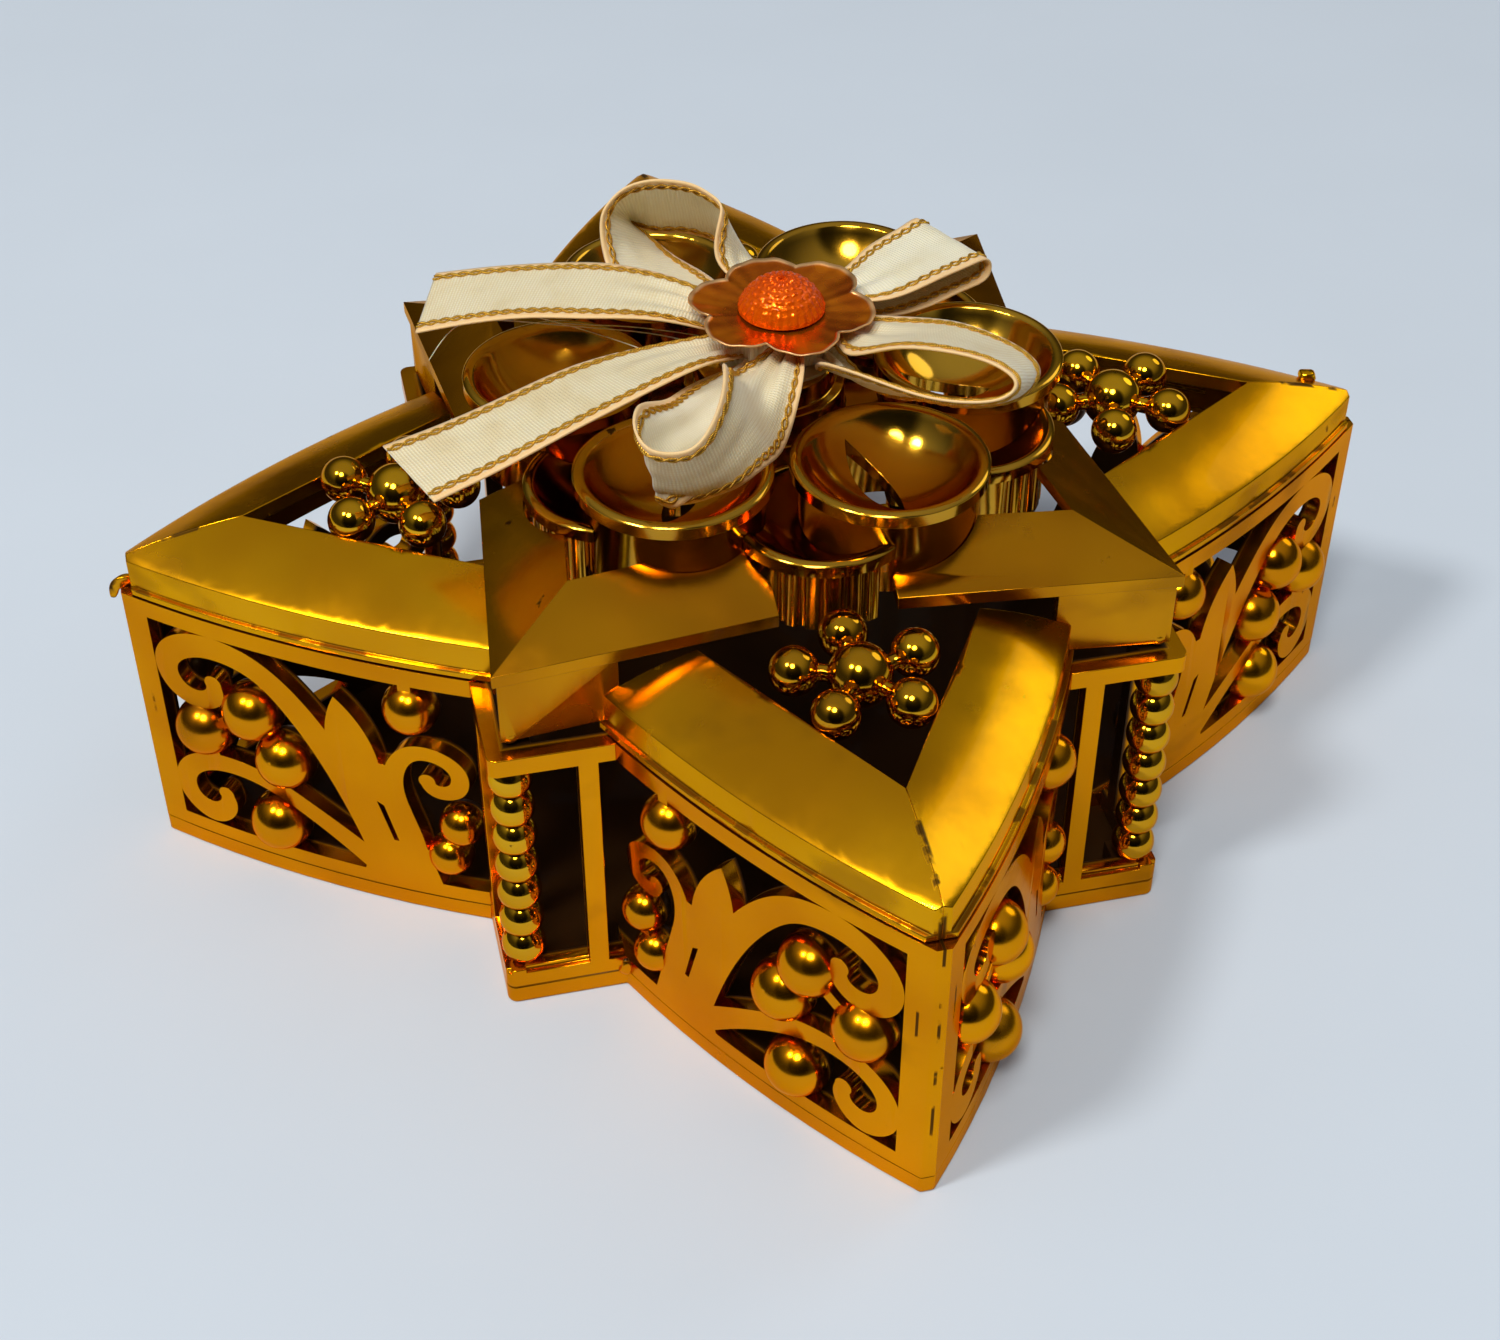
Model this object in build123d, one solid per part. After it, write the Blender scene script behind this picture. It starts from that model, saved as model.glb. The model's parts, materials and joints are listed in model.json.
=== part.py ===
from build123d import *
import math
import os

os.makedirs("parts", exist_ok=True)

# Star outline seen from above: a square with a long point growing out of the middle of each side
tip_reach = 60.0
tip_blunt = 0.7
square_half = 31.05
point_half_width = 20.15
side_bow = 1.3
corner_round = 0.9

# Base: floor plate, openwork sides and open corners
base_height = 29.45
floor_thickness = 2.0
wall = 1.8
rail_low_top = 3.6
rail_high_depth = 1.85
tip_post_width = 2.8
corner_bar_start = 1.5
corner_bar_width = 1.75
corner_block = 4.0
ledge_depth = 0.5
ledge_height = 0.45

# Corner columns: a string of beads on a core
column_bead_diameter = 4.0
column_bead_count = 7
column_core_diameter = 2.2

# Scrollwork of one side, drawn for a side of this length and height and stretched to fit another.
# Each band has points (distance from the tip, height, width of the band).
drawn_length = 35.85
drawn_height = 29.45
upper_scroll = [
    (25.6, 4.0, 3.2), (23.2, 11.5, 3.2), (20.4, 17.6, 3.0), (17.3, 22.3, 2.8), (13.9, 25.3, 2.6),
    (10.0, 26.3, 2.6), (6.3, 25.5, 2.6), (4.1, 22.9, 2.5), (4.8, 20.4, 2.4), (6.9, 19.5, 2.2),
    (8.8, 20.3, 2.0), (9.1, 22.0, 1.8),
]
lower_scroll = [
    (25.6, 3.4, 2.8), (20.7, 7.3, 2.2), (16.9, 9.8, 2.0), (13.4, 11.5, 2.0), (9.7, 12.1, 2.0),
    (5.9, 11.2, 2.1), (3.9, 9.0, 2.2), (4.2, 6.3, 2.4), (6.4, 5.1, 2.6), (8.2, 6.3, 2.0), (8.3, 8.0, 1.7),
]
right_scroll = [
    (28.0, 7.0, 2.8), (27.0, 13.0, 2.3), (27.1, 17.2, 1.9), (28.9, 19.6, 1.7), (31.4, 19.7, 1.6),
    (33.3, 18.0, 1.7), (32.9, 16.0, 1.7), (31.2, 15.5, 1.6), (30.2, 16.6, 1.6),
]
foot = [(22.6, 3.0), (30.8, 3.0), (29.3, 8.5), (28.2, 13.0), (26.2, 17.6), (21.0, 17.6), (24.2, 8.0)]
leaf_left = [(20.6, 17.4), (20.7, 21.3), (21.9, 24.6)]
leaf_right = [(21.9, 24.6), (24.1, 21.9), (25.6, 17.4)]
vein = [(24.9, 12.8), (25.6, 12.4), (26.7, 8.2), (26.2, 8.2)]
# Balls of one side: distance from the tip, height, diameter
balls = [
    (6.9, 15.7, 5.9), (12.6, 19.5, 5.9), (15.4, 14.6, 5.9), (13.8, 6.3, 6.0),
    (29.0, 24.6, 5.2), (32.8, 11.3, 4.4), (31.4, 7.2, 4.3),
]
# Short webs that carry the balls: pairs of points
web_width = 1.2
webs = [
    ((6.9, 15.7), (12.6, 19.5)), ((6.9, 15.7), (8.2, 11.8)), ((29.0, 24.6), (29.0, 28.0)),
    ((32.8, 11.3), (31.4, 7.2)), ((31.4, 7.2), (28.4, 7.2)), ((6.9, 15.7), (6.9, 19.5)),
    ((13.8, 6.3), (13.8, 3.0)),
]

# Lid: low sloping rails round the long points. Heights of the lid are above its own underside.
lid_gap = 0.1
flange_height = 0.65
flange_inset = 0.15
lid_inset = 0.6
lid_tip_setback = 1.0
rail_ridge_height = 3.35
rail_inner_height = 6.15
rail_crown = 0.35
rail_skin = 1.5
rail_vertex_setback = 11.8
rail_end_half_width = 12.4
rib_thickness = 1.0
rib_clearance = 0.3
rib_depth = 1.9

# Lid: hipped plates over the square corners
plate_corner_setback = 1.05
plate_waist = 26.85
plate_edge_height = 8.15
plate_rise = 2.8
plate_vertex = 22.2
plate_inner_waist = 19.4
plate_skin = 1.2
plate_end = 5.2
skirt_wall = 1.4
skirt_inset = 0.35
skirt_end = 19.3
corner_bead_diameter = 1.8

# Rosette: two rings of six dished petals round a boss
petal_count = 6
petal_clearance = 0.06
petal_skin = 1.1
rim_height = 1.1
rim_crown = 0.25
upper_turn = -8.0
upper_ring = 18.7
upper_radius = 7.9
upper_rim_radius = 8.7
upper_rim_height = 15.45
upper_dish = 4.4
upper_bottom = 7.05
lower_turn = 32.0
lower_ring = 18.9
lower_radius = 7.2
lower_rim_radius = 7.9
lower_rim_height = 11.85
lower_dish = 2.6
lower_bottom = 4.65
slot_from = -6.4
slot_to = 2.3
slot_width = 2.7
flute_count = 7
flute_pitch = 15.0
flute_radius = 0.4
hub_radius = 10.7
hub_thickness = 1.6
boss_radius = 7.4
boss_neck_radius = 6.4
boss_shoulder_height = 14.05
boss_top = 16.25

# Bead flowers in the openings of the long points
cluster_setback = 25.7
cluster_height = 6.35
cluster_radius = 5.5
cluster_count = 5
cluster_bead_diameter = 4.3
cluster_centre_diameter = 5.6
cluster_web_diameter = 1.5

# Bow: satin ribbon gathered at a knot on a pad of glue, under a foil flower with a domed middle
ribbon_thickness = 0.4
ribbon_steps = 3
knot_x = 1.2
knot_y = 0.2
knot_radius = 4.6
knot_bulge = 0.5
knot_height = 4.0
glue_thickness = 0.3
glue_radius = 5.6
foil_lobes = 6
foil_turn = 35.0
foil_radius = 8.9
foil_lobe_radius = 3.7
foil_middle_radius = 6.0
foil_thickness = 0.5
foil_cup = 0.8
foil_clearance = 0.2
dome_radius = 4.1
dome_height = 3.2
# Both edges of each ribbon, 10 mm apart away from the knot, as pairs of points along its way:
# x and y from the middle of the star, height above the pad of glue
ribbons = {
    "bow_loop_back_left": [
        ((0.0, 5.8, 3.1), (3.5, 5.4, 3.1)), ((-2.3, 9.2, 4.5), (4.2, 10.3, 1.3)),
        ((-1.8, 10.9, 7.3), (3.4, 14.1, -0.4)), ((-1.3, 12.3, 8.5), (2.0, 16.5, 0.0)),
        ((-2.0, 13.8, 8.9), (0.7, 18.4, 0.5)), ((-3.3, 15.1, 9.3), (-1.1, 19.9, 0.8)),
        ((-5.0, 16.1, 9.4), (-3.2, 21.0, 1.0)), ((-6.9, 16.6, 9.4), (-5.3, 21.7, 0.9)),
        ((-8.7, 16.7, 9.1), (-6.9, 22.5, 1.2)), ((-10.0, 16.5, 8.6), (-7.7, 23.0, 1.4)),
        ((-11.1, 16.1, 7.8), (-7.4, 22.5, 1.1)), ((-12.0, 15.4, 6.4), (-6.0, 21.0, 0.5)),
        ((-12.1, 13.4, 3.7), (-4.3, 18.2, -0.1)), ((-10.3, 8.8, 1.8), (-2.0, 13.9, -0.1)),
        ((-3.4, 3.6, 1.1), (-0.6, 5.6, 1.1)),
    ],
    "bow_loop_back_right": [
        ((6.6, 2.2, 3.1), (4.4, 4.9, 3.1)), ((11.6, 0.3, 3.7), (9.3, 8.1, 2.5)),
        ((16.6, 1.9, 4.1), (12.4, 10.7, 3.0)), ((20.4, 4.0, 3.9), (15.9, 12.7, 3.4)),
        ((22.7, 5.3, 3.4), (18.4, 14.3, 3.4)), ((22.6, 5.2, 1.6), (18.6, 14.3, 1.8)),
        ((19.4, 3.9, 1.2), (15.8, 13.2, 1.1)), ((14.0, 1.9, 1.0), (10.2, 11.0, 0.8)),
        ((6.6, 2.2, 1.1), (4.4, 4.9, 1.1)),
    ],
    "bow_loop_front_right": [
        ((5.6, -3.5, 3.1), (6.9, -0.2, 3.1)), ((5.5, -8.6, 4.2), (12.3, -3.6, 4.0)),
        ((7.8, -12.6, 6.9), (15.7, -6.9, 5.0)), ((10.6, -15.9, 8.5), (18.2, -10.1, 5.3)),
        ((13.2, -18.6, 9.1), (20.1, -12.6, 5.0)), ((15.1, -20.6, 9.0), (21.0, -14.3, 4.2)),
        ((16.1, -22.0, 8.2), (20.6, -15.0, 3.2)), ((15.0, -22.3, 7.1), (19.3, -15.1, 2.0)),
        ((12.5, -21.3, 6.4), (17.1, -14.5, 1.1)), ((9.1, -19.1, 6.1), (14.3, -13.1, 0.5)),
        ((5.4, -15.4, 6.1), (11.6, -11.0, 0.1)), ((2.9, -9.9, 4.5), (8.8, -8.4, -0.4)),
        ((3.5, -5.0, 0.9), (6.1, -2.7, 0.9)),
    ],
    "bow_loop_front_left": [
        ((-1.3, -5.0, 3.1), (2.2, -5.4, 3.1)), ((-5.0, -7.3, 2.8), (1.0, -10.1, 2.9)),
        ((-6.6, -12.6, 7.5), (-1.4, -13.9, -0.5)), ((-7.5, -16.8, 8.5), (-4.0, -17.3, -0.2)),
        ((-9.0, -20.5, 7.9), (-6.4, -18.4, -1.0)), ((-11.1, -22.5, 6.5), (-8.6, -18.3, -1.8)),
        ((-13.3, -22.3, 6.0), (-11.3, -18.1, -2.4)), ((-14.9, -21.4, 6.2), (-13.3, -17.4, -2.4)),
        ((-15.5, -19.1, 6.7), (-12.7, -18.2, -2.4)), ((-14.7, -16.2, 6.7), (-11.7, -19.1, -1.7)),
        ((-13.1, -13.3, 5.1), (-9.2, -18.1, -0.7)), ((-11.0, -10.1, 3.0), (-5.8, -15.3, -0.2)),
        ((-8.4, -6.6, 1.7), (-2.2, -11.0, 0.6)), ((-3.5, -3.0, 0.8), (-0.8, -5.2, 0.8)),
    ],
    "ribbon_tail_back": [
        ((-4.6, 1.2, 2.1), (-2.9, 3.6, 3.7)), ((-10.1, 1.3, 4.0), (-6.7, 8.1, 3.9)),
        ((-15.8, 2.7, 4.1), (-11.4, 11.7, 3.8)), ((-20.5, 4.9, 3.5), (-16.3, 14.0, 3.3)),
        ((-25.5, 7.1, 2.3), (-21.8, 16.4, 2.3)), ((-30.5, 9.0, 0.8), (-27.4, 18.5, 1.1)),
    ],
    "ribbon_tail_front": [
        ((-3.3, -3.3, 1.9), (-4.5, 0.0, 2.2)), ((-7.7, -7.7, 4.2), (-10.9, -0.2, 2.1)),
        ((-13.9, -10.9, 4.0), (-17.2, -1.6, 2.1)), ((-19.7, -13.0, 3.0), (-22.8, -3.6, 1.6)),
        ((-26.0, -15.2, 1.7), (-29.1, -5.8, 0.8)), ((-32.2, -17.3, 0.7), (-35.4, -7.9, 0.4)),
    ],
}

# Worked out from the sizes above
far = 200.0
overrun = 5.0
rail_high_bottom = base_height - rail_high_depth
lid_bottom = base_height + lid_gap
lid_tip_reach = tip_reach - lid_tip_setback
rail_vertex_reach = tip_reach - rail_vertex_setback
cluster_reach = tip_reach - cluster_setback
side_from = Vector(tip_reach + tip_blunt, 0)
side_to = Vector(square_half, point_half_width)
side_length = (side_to - side_from).length
side_radius = (side_length**2 / 4 + side_bow**2) / (2 * side_bow)
side_plane = Plane(origin=side_from, x_dir=side_to - side_from, z_dir=(0, 0, 1))
stretch_along = side_length / drawn_length
stretch_up = base_height / drawn_height
plate_corner = square_half - plate_corner_setback
plate_plane = Plane(
    origin=(plate_waist, 0, 0), x_dir=(plate_corner - plate_waist, plate_corner, 0), z_dir=(0, 0, 1))
plate_depth = plate_plane.to_local_coords(Vector(plate_vertex, plate_vertex, 0)).Y
plate_slope = plate_rise / plate_depth
knot_bottom = boss_top + glue_thickness
knot_top = knot_bottom + knot_height
foil_bottom = knot_top + foil_clearance

quarters = range(4)
point_names = ["right", "back", "left", "front"]
side_names = ["back", "left", "front", "right"]
mirror_names = ["front", "right", "back", "left"]
corner_names = ["back_right", "back_left", "front_left", "front_right"]


def save(shape, name):
    """Writes one piece."""
    export_step(shape, f"parts/{name}.step")


def save_lid(shape, name):
    """Writes one piece of the lid, lifted onto the base."""
    save(Pos(0, 0, lid_bottom) * shape, name)


def turned(shape, quarter):
    return shape.rotate(Axis.Z, 90 * quarter)


def block(x0, x1, y0, y1, z0, z1):
    return Pos((x0 + x1) / 2, (y0 + y1) / 2, (z0 + z1) / 2) * Box(x1 - x0, y1 - y0, z1 - z0)


def prism(points, z0, z1):
    """A straight-sided column on a polygon."""
    return Pos(0, 0, z0) * extrude(make_face(Polyline(*points, close=True)), z1 - z0, dir=(0, 0, 1))


def bow_at(s, inset=0.0):
    """How far a side's arc stands out from its chord, with the arc drawn in by an inset."""
    return math.sqrt((side_radius - inset) ** 2 - (s - side_length / 2) ** 2) - (side_radius - side_bow)


def side_point(s, inset=0.0):
    """A point of a bowed side, at a distance along it from the tip."""
    return side_plane.from_local_coords(Vector(s, -bow_at(s, inset)))


def side_band(outer, inner, z0, z1):
    """The curved wall between two insets of a side, in the side's own frame and a little too long."""
    stations = (-overrun, side_length / 2, side_length + overrun)
    outer_arc = ThreePointArc(*[(s, -bow_at(s, outer)) for s in stations])
    inner_arc = ThreePointArc(*[(s, -bow_at(s, inner)) for s in stations])
    ends = [Line(outer_arc @ 0, inner_arc @ 0), Line(outer_arc @ 1, inner_arc @ 1)]
    face = make_face([outer_arc, inner_arc, *ends])
    return Pos(0, 0, z0) * extrude(face, z1 - z0, dir=(0, 0, 1))


def drawn(s, z):
    """A point of the scrollwork's drawing, stretched to the side's real length and height."""
    return Vector(s * stretch_along, z * stretch_up)


def drawn_face(points):
    """A straight-sided face of the drawing."""
    return make_face(Polyline(*[drawn(*point) for point in points], close=True))


def tapered_band(stations):
    """A flat band of changing width round a smooth middle line, rounded at its far end."""
    middle = [drawn(s, z) for s, z, width in stations]
    before = middle[:1] + middle[:-1]
    after = middle[1:] + middle[-1:]
    left = []
    right = []
    for point, last, following, (s, z, width) in zip(middle, before, after, stations):
        along = (following - last).normalized()
        across = Vector(-along.Y, along.X) * (width / 2)
        left.append(point + across)
        right.append(point - across)
    edges = [Spline(*left), Spline(*right), Line(left[0], right[0]), Line(left[-1], right[-1])]
    end_width = stations[-1][2]
    return make_face(edges) + Pos(middle[-1].X, middle[-1].Y) * Circle(end_width / 2)


def bar_between(start, end, width):
    """A flat bar between two points of the drawing."""
    along = drawn(*end) - drawn(*start)
    middle = (drawn(*end) + drawn(*start)) / 2
    angle = math.degrees(math.atan2(along.Y, along.X))
    return Pos(middle.X, middle.Y) * Rot(0, 0, angle) * Rectangle(along.length, width)


def star_floor():
    """Floor plate: the square joined to four bowed, blunt points."""
    half = make_face([
        ThreePointArc(side_point(0), side_point(side_length / 2), side_point(side_length)),
        Line(side_point(side_length), (0, point_half_width)),
        Line((0, point_half_width), (0, 0)),
        Line((0, 0), side_point(0)),
    ])
    point = half + mirror(half, Plane.XZ)
    square = RectangleRounded(2 * square_half, 2 * square_half, corner_round)
    star = Sketch() + square + [turned(point, q) for q in quarters]
    plate = extrude(star, floor_thickness, dir=(0, 0, 1))
    return plate & Box(2 * tip_reach, 2 * tip_reach, far)


def scrollwork():
    """Face of the pierced side: two rails, the tip post, three scrolls, a foot and a pointed leaf."""
    middle = (side_length + overrun) / 2
    rail_length = side_length + 3 * overrun
    low = Pos(middle, rail_low_top / 2) * Rectangle(rail_length, rail_low_top)
    high = Pos(middle, base_height - rail_high_depth / 2) * Rectangle(rail_length, rail_high_depth)
    post_width = tip_post_width + overrun
    post = Pos(tip_post_width - post_width / 2, base_height / 2) * Rectangle(post_width, base_height)
    left = [drawn(*point) for point in leaf_left]
    right = [drawn(*point) for point in leaf_right]
    leaf = make_face([ThreePointArc(*left), ThreePointArc(*right), Line(right[-1], left[0])])
    growth = [low, high, post, leaf, drawn_face(foot)]
    growth += [tapered_band(band) for band in (upper_scroll, lower_scroll, right_scroll)]
    growth += [bar_between(start, end, web_width) for start, end in webs]
    return Sketch() + growth - drawn_face(vein)


def openwork_side():
    """One pierced side wall with its balls, standing on the floor, from the tip to the notch."""
    face = Plane.XZ * (Pos(tip_blunt, 0) * scrollwork())
    through = Pos(0, -overrun, 0) * extrude(face, 2 * overrun, dir=(0, 1, 0))
    side = side_band(0, wall, floor_thickness, base_height) & through
    side = side_plane.location * side & block(0, tip_reach, 0, point_half_width, 0, base_height)
    facing = Rot(0, 0, math.degrees(math.atan2(-side_plane.y_dir.Y, -side_plane.y_dir.X)))
    for s, z, diameter in balls:
        spot = drawn(s, z)
        middle = side_point(spot.X + tip_blunt, wall / 2)
        side += Pos(middle.X, middle.Y, spot.Y) * facing * Sphere(diameter * stretch_up / 2)
    return side


def corner_frame():
    """An open corner: bottom rail with a stepped ledge, top rail, two plain bars and column blocks."""
    inside = square_half - wall
    run = (point_half_width, square_half)
    half = block(inside, square_half, *run, floor_thickness, rail_low_top)
    half += block(inside, square_half - ledge_depth, *run, floor_thickness, rail_low_top + ledge_height)
    half += block(inside, square_half, *run, rail_high_bottom, base_height)
    bar = point_half_width + corner_bar_start
    half += block(inside, square_half, bar, bar + corner_bar_width, floor_thickness, base_height)
    pad = (square_half - corner_block, square_half - ledge_depth)
    blocks = block(*pad, *pad, floor_thickness, rail_low_top + ledge_height)
    blocks += block(*pad, *pad, rail_high_bottom, base_height)
    frame = half + mirror(half, Plane(origin=(0, 0, 0), z_dir=(1, -1, 0))) + blocks
    return frame & extrude(RectangleRounded(2 * square_half, 2 * square_half, corner_round), base_height)


def bead_column():
    """Corner column: beads on a core, cut flat where they meet the rails."""
    centre = square_half - column_bead_diameter / 2
    low = rail_low_top + ledge_height
    pitch = (rail_high_bottom - low) / column_bead_count
    column = Pos(centre, centre, (low + rail_high_bottom) / 2) * Cylinder(
        column_core_diameter / 2, rail_high_bottom - low)
    for bead in range(column_bead_count):
        column += Pos(centre, centre, low + (bead + 0.5) * pitch) * Sphere(column_bead_diameter / 2)
    return column & block(0, far, 0, far, low, rail_high_bottom)


def rail_section(start, inner, tangent):
    """Section of a lid rail, from a point of the base's outline to the rail's inner edge."""
    across = (inner - start).normalized()
    slant = 1 / abs(across.cross(tangent).Z)
    reach = (inner - start).length
    ridge = (lid_inset * slant, rail_ridge_height)
    top = (reach, rail_inner_height)
    crown = ((ridge[0] + top[0]) / 2, (ridge[1] + top[1]) / 2 + rail_crown)
    flange = flange_inset * slant
    rib_out = (wall + rib_clearance) * slant
    rib_in = rib_out + rib_thickness * slant
    rest = Polyline(
        top,
        (reach, rail_inner_height - rail_skin),
        (rib_in, rail_ridge_height - rail_skin / 2),
        (rib_in, -rib_depth),
        (rib_out, -rib_depth),
        (rib_out, 0),
        (flange, 0),
        (flange, flange_height),
        (ridge[0], flange_height),
        ridge,
    )
    section = make_face([ThreePointArc(ridge, crown, top), *rest.edges()])
    return Plane(origin=start, x_dir=across, z_dir=across.cross(Vector(0, 0, 1))).location * section


def outline_along(origin, direction):
    """Where a line that starts inside a side's circle leaves it."""
    centre = side_plane.from_local_coords(Vector(side_length / 2, side_radius - side_bow))
    offset = origin - centre
    along = offset.dot(direction)
    return origin + direction * (math.sqrt(along**2 - offset.dot(offset) + side_radius**2) - along)


def tangent_at(point):
    """Direction of a side's circle at one of its points."""
    centre = side_plane.from_local_coords(Vector(side_length / 2, side_radius - side_bow))
    radius = (point - centre).normalized()
    return Vector(-radius.Y, radius.X)


def point_rail():
    """Lid rail along one side of a long point, mitred at the tip and butted against the corner skirt."""
    vertex = Vector(rail_vertex_reach, 0)
    butt = plate_plane.from_local_coords(Vector(0, skirt_inset))
    along = plate_plane.x_dir
    inner_end = butt + along * ((rail_end_half_width - butt.Y) / along.Y)
    stations = [
        (side_point(0), vertex),
        (side_point(side_length / 2), (vertex + inner_end) / 2),
        (outline_along(butt, along), inner_end),
    ]
    rail = loft([rail_section(start, inner, tangent_at(start)) for start, inner in stations])
    return rail & block(0, lid_tip_reach, 0, far, -far, far)


def roof_half():
    """Half of a corner plate: one sloping facet, the skirt below it and half of the corner's bead."""
    face = plate_plane
    length = math.hypot(plate_corner - plate_waist, plate_corner) + overrun
    eave = (0, plate_edge_height)
    inside = plate_depth + overrun
    top = (inside, plate_edge_height + plate_slope * inside)
    slab = Polyline(eave, top, (top[0], top[1] - plate_skin), (0, plate_edge_height - plate_skin), close=True)
    section_plane = Plane(origin=face.origin, x_dir=face.y_dir, z_dir=face.x_dir)
    roof = extrude(section_plane * make_face(slab), length, dir=face.x_dir)
    roof &= prism([
        (plate_waist, 0), (plate_corner, plate_corner), (plate_vertex, plate_vertex), (plate_inner_waist, 0),
    ], 0, far) & block(0, far, plate_end, far, 0, far)
    skirt_high = plate_edge_height - plate_skin / 2 + plate_slope * skirt_inset
    skirt = Pos(skirt_end, skirt_inset, flange_height) * Box(
        length - skirt_end, skirt_wall, skirt_high - flange_height, align=Align.MIN)
    return roof + (face.location * skirt & prism([(0, 0), (far, 0), (far, far)], 0, far))


def corner_plate():
    """Hipped plate over one square corner, with its skirt and the small bead that it rests on."""
    half = roof_half()
    diagonal = Plane(origin=(0, 0, 0), z_dir=(1, -1, 0))
    plate = half + mirror(half, diagonal)
    bead_at = plate_corner - skirt_inset - corner_bead_diameter / 2
    return plate + Pos(bead_at, bead_at, corner_bead_diameter / 2) * Sphere(corner_bead_diameter / 2)


def petal_body(radius, rim_radius, rim_top, dish, bottom):
    """A dished petal on its own axis: raised rim, spherical dish and a tubular skirt."""
    lip = rim_radius - petal_skin
    ball = (lip**2 + dish**2) / (2 * dish)
    centre_z = rim_top - dish + ball
    under = ball + petal_skin
    tube = radius - petal_skin

    def ball_z(r, size):
        return centre_z - math.sqrt(size**2 - r**2)

    outline = [
        ThreePointArc((0, rim_top - dish), (lip / 2, ball_z(lip / 2, ball)), (lip, rim_top)),
        ThreePointArc((lip, rim_top), ((lip + rim_radius) / 2, rim_top + rim_crown), (rim_radius, rim_top)),
        *Polyline(
            (rim_radius, rim_top), (rim_radius, rim_top - rim_height), (radius, rim_top - rim_height - rim_crown),
            (radius, bottom), (tube, bottom), (tube, ball_z(tube, under))).edges(),
        ThreePointArc((tube, ball_z(tube, under)), (tube / 2, ball_z(tube / 2, under)), (0, ball_z(0, under))),
        Line((0, ball_z(0, under)), (0, rim_top - dish)),
    ]
    return revolve(Plane.XZ * make_face(outline), Axis.Z)


def petal_spot(ring, turn, number):
    """Place of one petal's axis."""
    return Rot(0, 0, turn + number * 360 / petal_count) * Pos(ring, 0, 0)


def upper_petals():
    """The high ring, each dish pierced by a leaf-shaped slot that points at the hub."""
    slot = make_face([
        ThreePointArc((slot_from, 0), ((slot_from + slot_to) / 2, slot_width / 2), (slot_to, 0)),
        ThreePointArc((slot_from, 0), ((slot_from + slot_to) / 2, -slot_width / 2), (slot_to, 0)),
    ])
    body = petal_body(upper_radius, upper_rim_radius, upper_rim_height, upper_dish, upper_bottom)
    body -= extrude(slot, upper_rim_height, dir=(0, 0, 1))
    return [petal_spot(upper_ring, upper_turn, n) * body for n in range(petal_count)]


def upper_cutters():
    """Cylinders that keep other pieces clear of the high petals' walls."""
    cutter = Pos(0, 0, upper_rim_height / 2) * Cylinder(upper_radius + petal_clearance, upper_rim_height)
    return [petal_spot(upper_ring, upper_turn, n) * cutter for n in range(petal_count)]


def lower_cutters():
    """Cylinders that keep the corner plates clear of the low petals."""
    cutter_height = lower_rim_height + overrun
    cutter = Pos(0, 0, lower_rim_height / 2) * Cylinder(lower_rim_radius + petal_clearance, cutter_height)
    return [petal_spot(lower_ring, lower_turn, n) * cutter for n in range(petal_count)]


def lower_petals(cutters):
    """The low ring between the high petals, with upright flutes on each outer wall."""
    body = petal_body(lower_radius, lower_rim_radius, lower_rim_height, lower_dish, lower_bottom)
    flute_height = lower_rim_height - rim_height - rim_crown - lower_bottom
    for n in range(flute_count):
        angle = math.radians((n - (flute_count - 1) / 2) * flute_pitch)
        body -= Pos(lower_radius * math.cos(angle), lower_radius * math.sin(angle),
                    lower_bottom + flute_height / 2) * Cylinder(flute_radius, flute_height)
    return [petal_spot(lower_ring, lower_turn, n) * body - cutters for n in range(petal_count)]


def rosette_hub():
    """Disc in the middle of the rosette with a stepped boss that carries the bow."""
    disc_top = upper_rim_height - upper_dish
    hub = Pos(0, 0, disc_top - hub_thickness / 2) * Cylinder(hub_radius, hub_thickness)
    drum_height = boss_shoulder_height - disc_top
    hub += Pos(0, 0, disc_top + drum_height / 2) * Cylinder(boss_radius, drum_height)
    return hub + Pos(0, 0, (disc_top + boss_top) / 2) * Cylinder(boss_neck_radius, boss_top - disc_top)


def bead_cluster():
    """Flower of beads in the opening of a long point: a large bead ringed by five, on thin webs."""
    cluster = Sphere(cluster_centre_diameter / 2)
    for n in range(cluster_count):
        spoke = Rot(0, 0, 180 + n * 360 / cluster_count)
        lying = Rot(0, 90, 0) * Cylinder(cluster_web_diameter / 2, cluster_radius)
        web = Pos(cluster_radius / 2, 0, 0) * lying
        cluster += spoke * (web + Pos(cluster_radius, 0, 0) * Sphere(cluster_bead_diameter / 2))
    return Pos(cluster_reach, 0, cluster_height) * cluster


def smooth_line(points):
    """A smooth line with its points at even steps of its parameter."""
    shares = [n / (len(points) - 1) for n in range(len(points))]
    return Edge.make_spline([Vector(*point) for point in points], parameters=shares)


def ribbon(pairs):
    """A ribbon between its two edges: thin rectangles that face along the way, joined in a loft."""
    near_edge = smooth_line([near for near, other in pairs])
    other_edge = smooth_line([other for near, other in pairs])
    count = (len(pairs) - 1) * ribbon_steps
    near = [near_edge @ (n / count) for n in range(count + 1)]
    other = [other_edge @ (n / count) for n in range(count + 1)]
    middle = [(a + b) / 2 for a, b in zip(near, other)]
    before = middle[:1] + middle[:-1]
    after = middle[1:] + middle[-1:]
    sections = []
    for a, b, last, following in zip(near, other, before, after):
        half_thick = (following - last).cross(a - b).normalized() * (ribbon_thickness / 2)
        corners = [a + half_thick, b + half_thick, b - half_thick, a - half_thick]
        sections.append(make_face(Polyline(*corners, close=True)))
    return Pos(0, 0, knot_bottom) * loft(sections, ruled=True)


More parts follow.
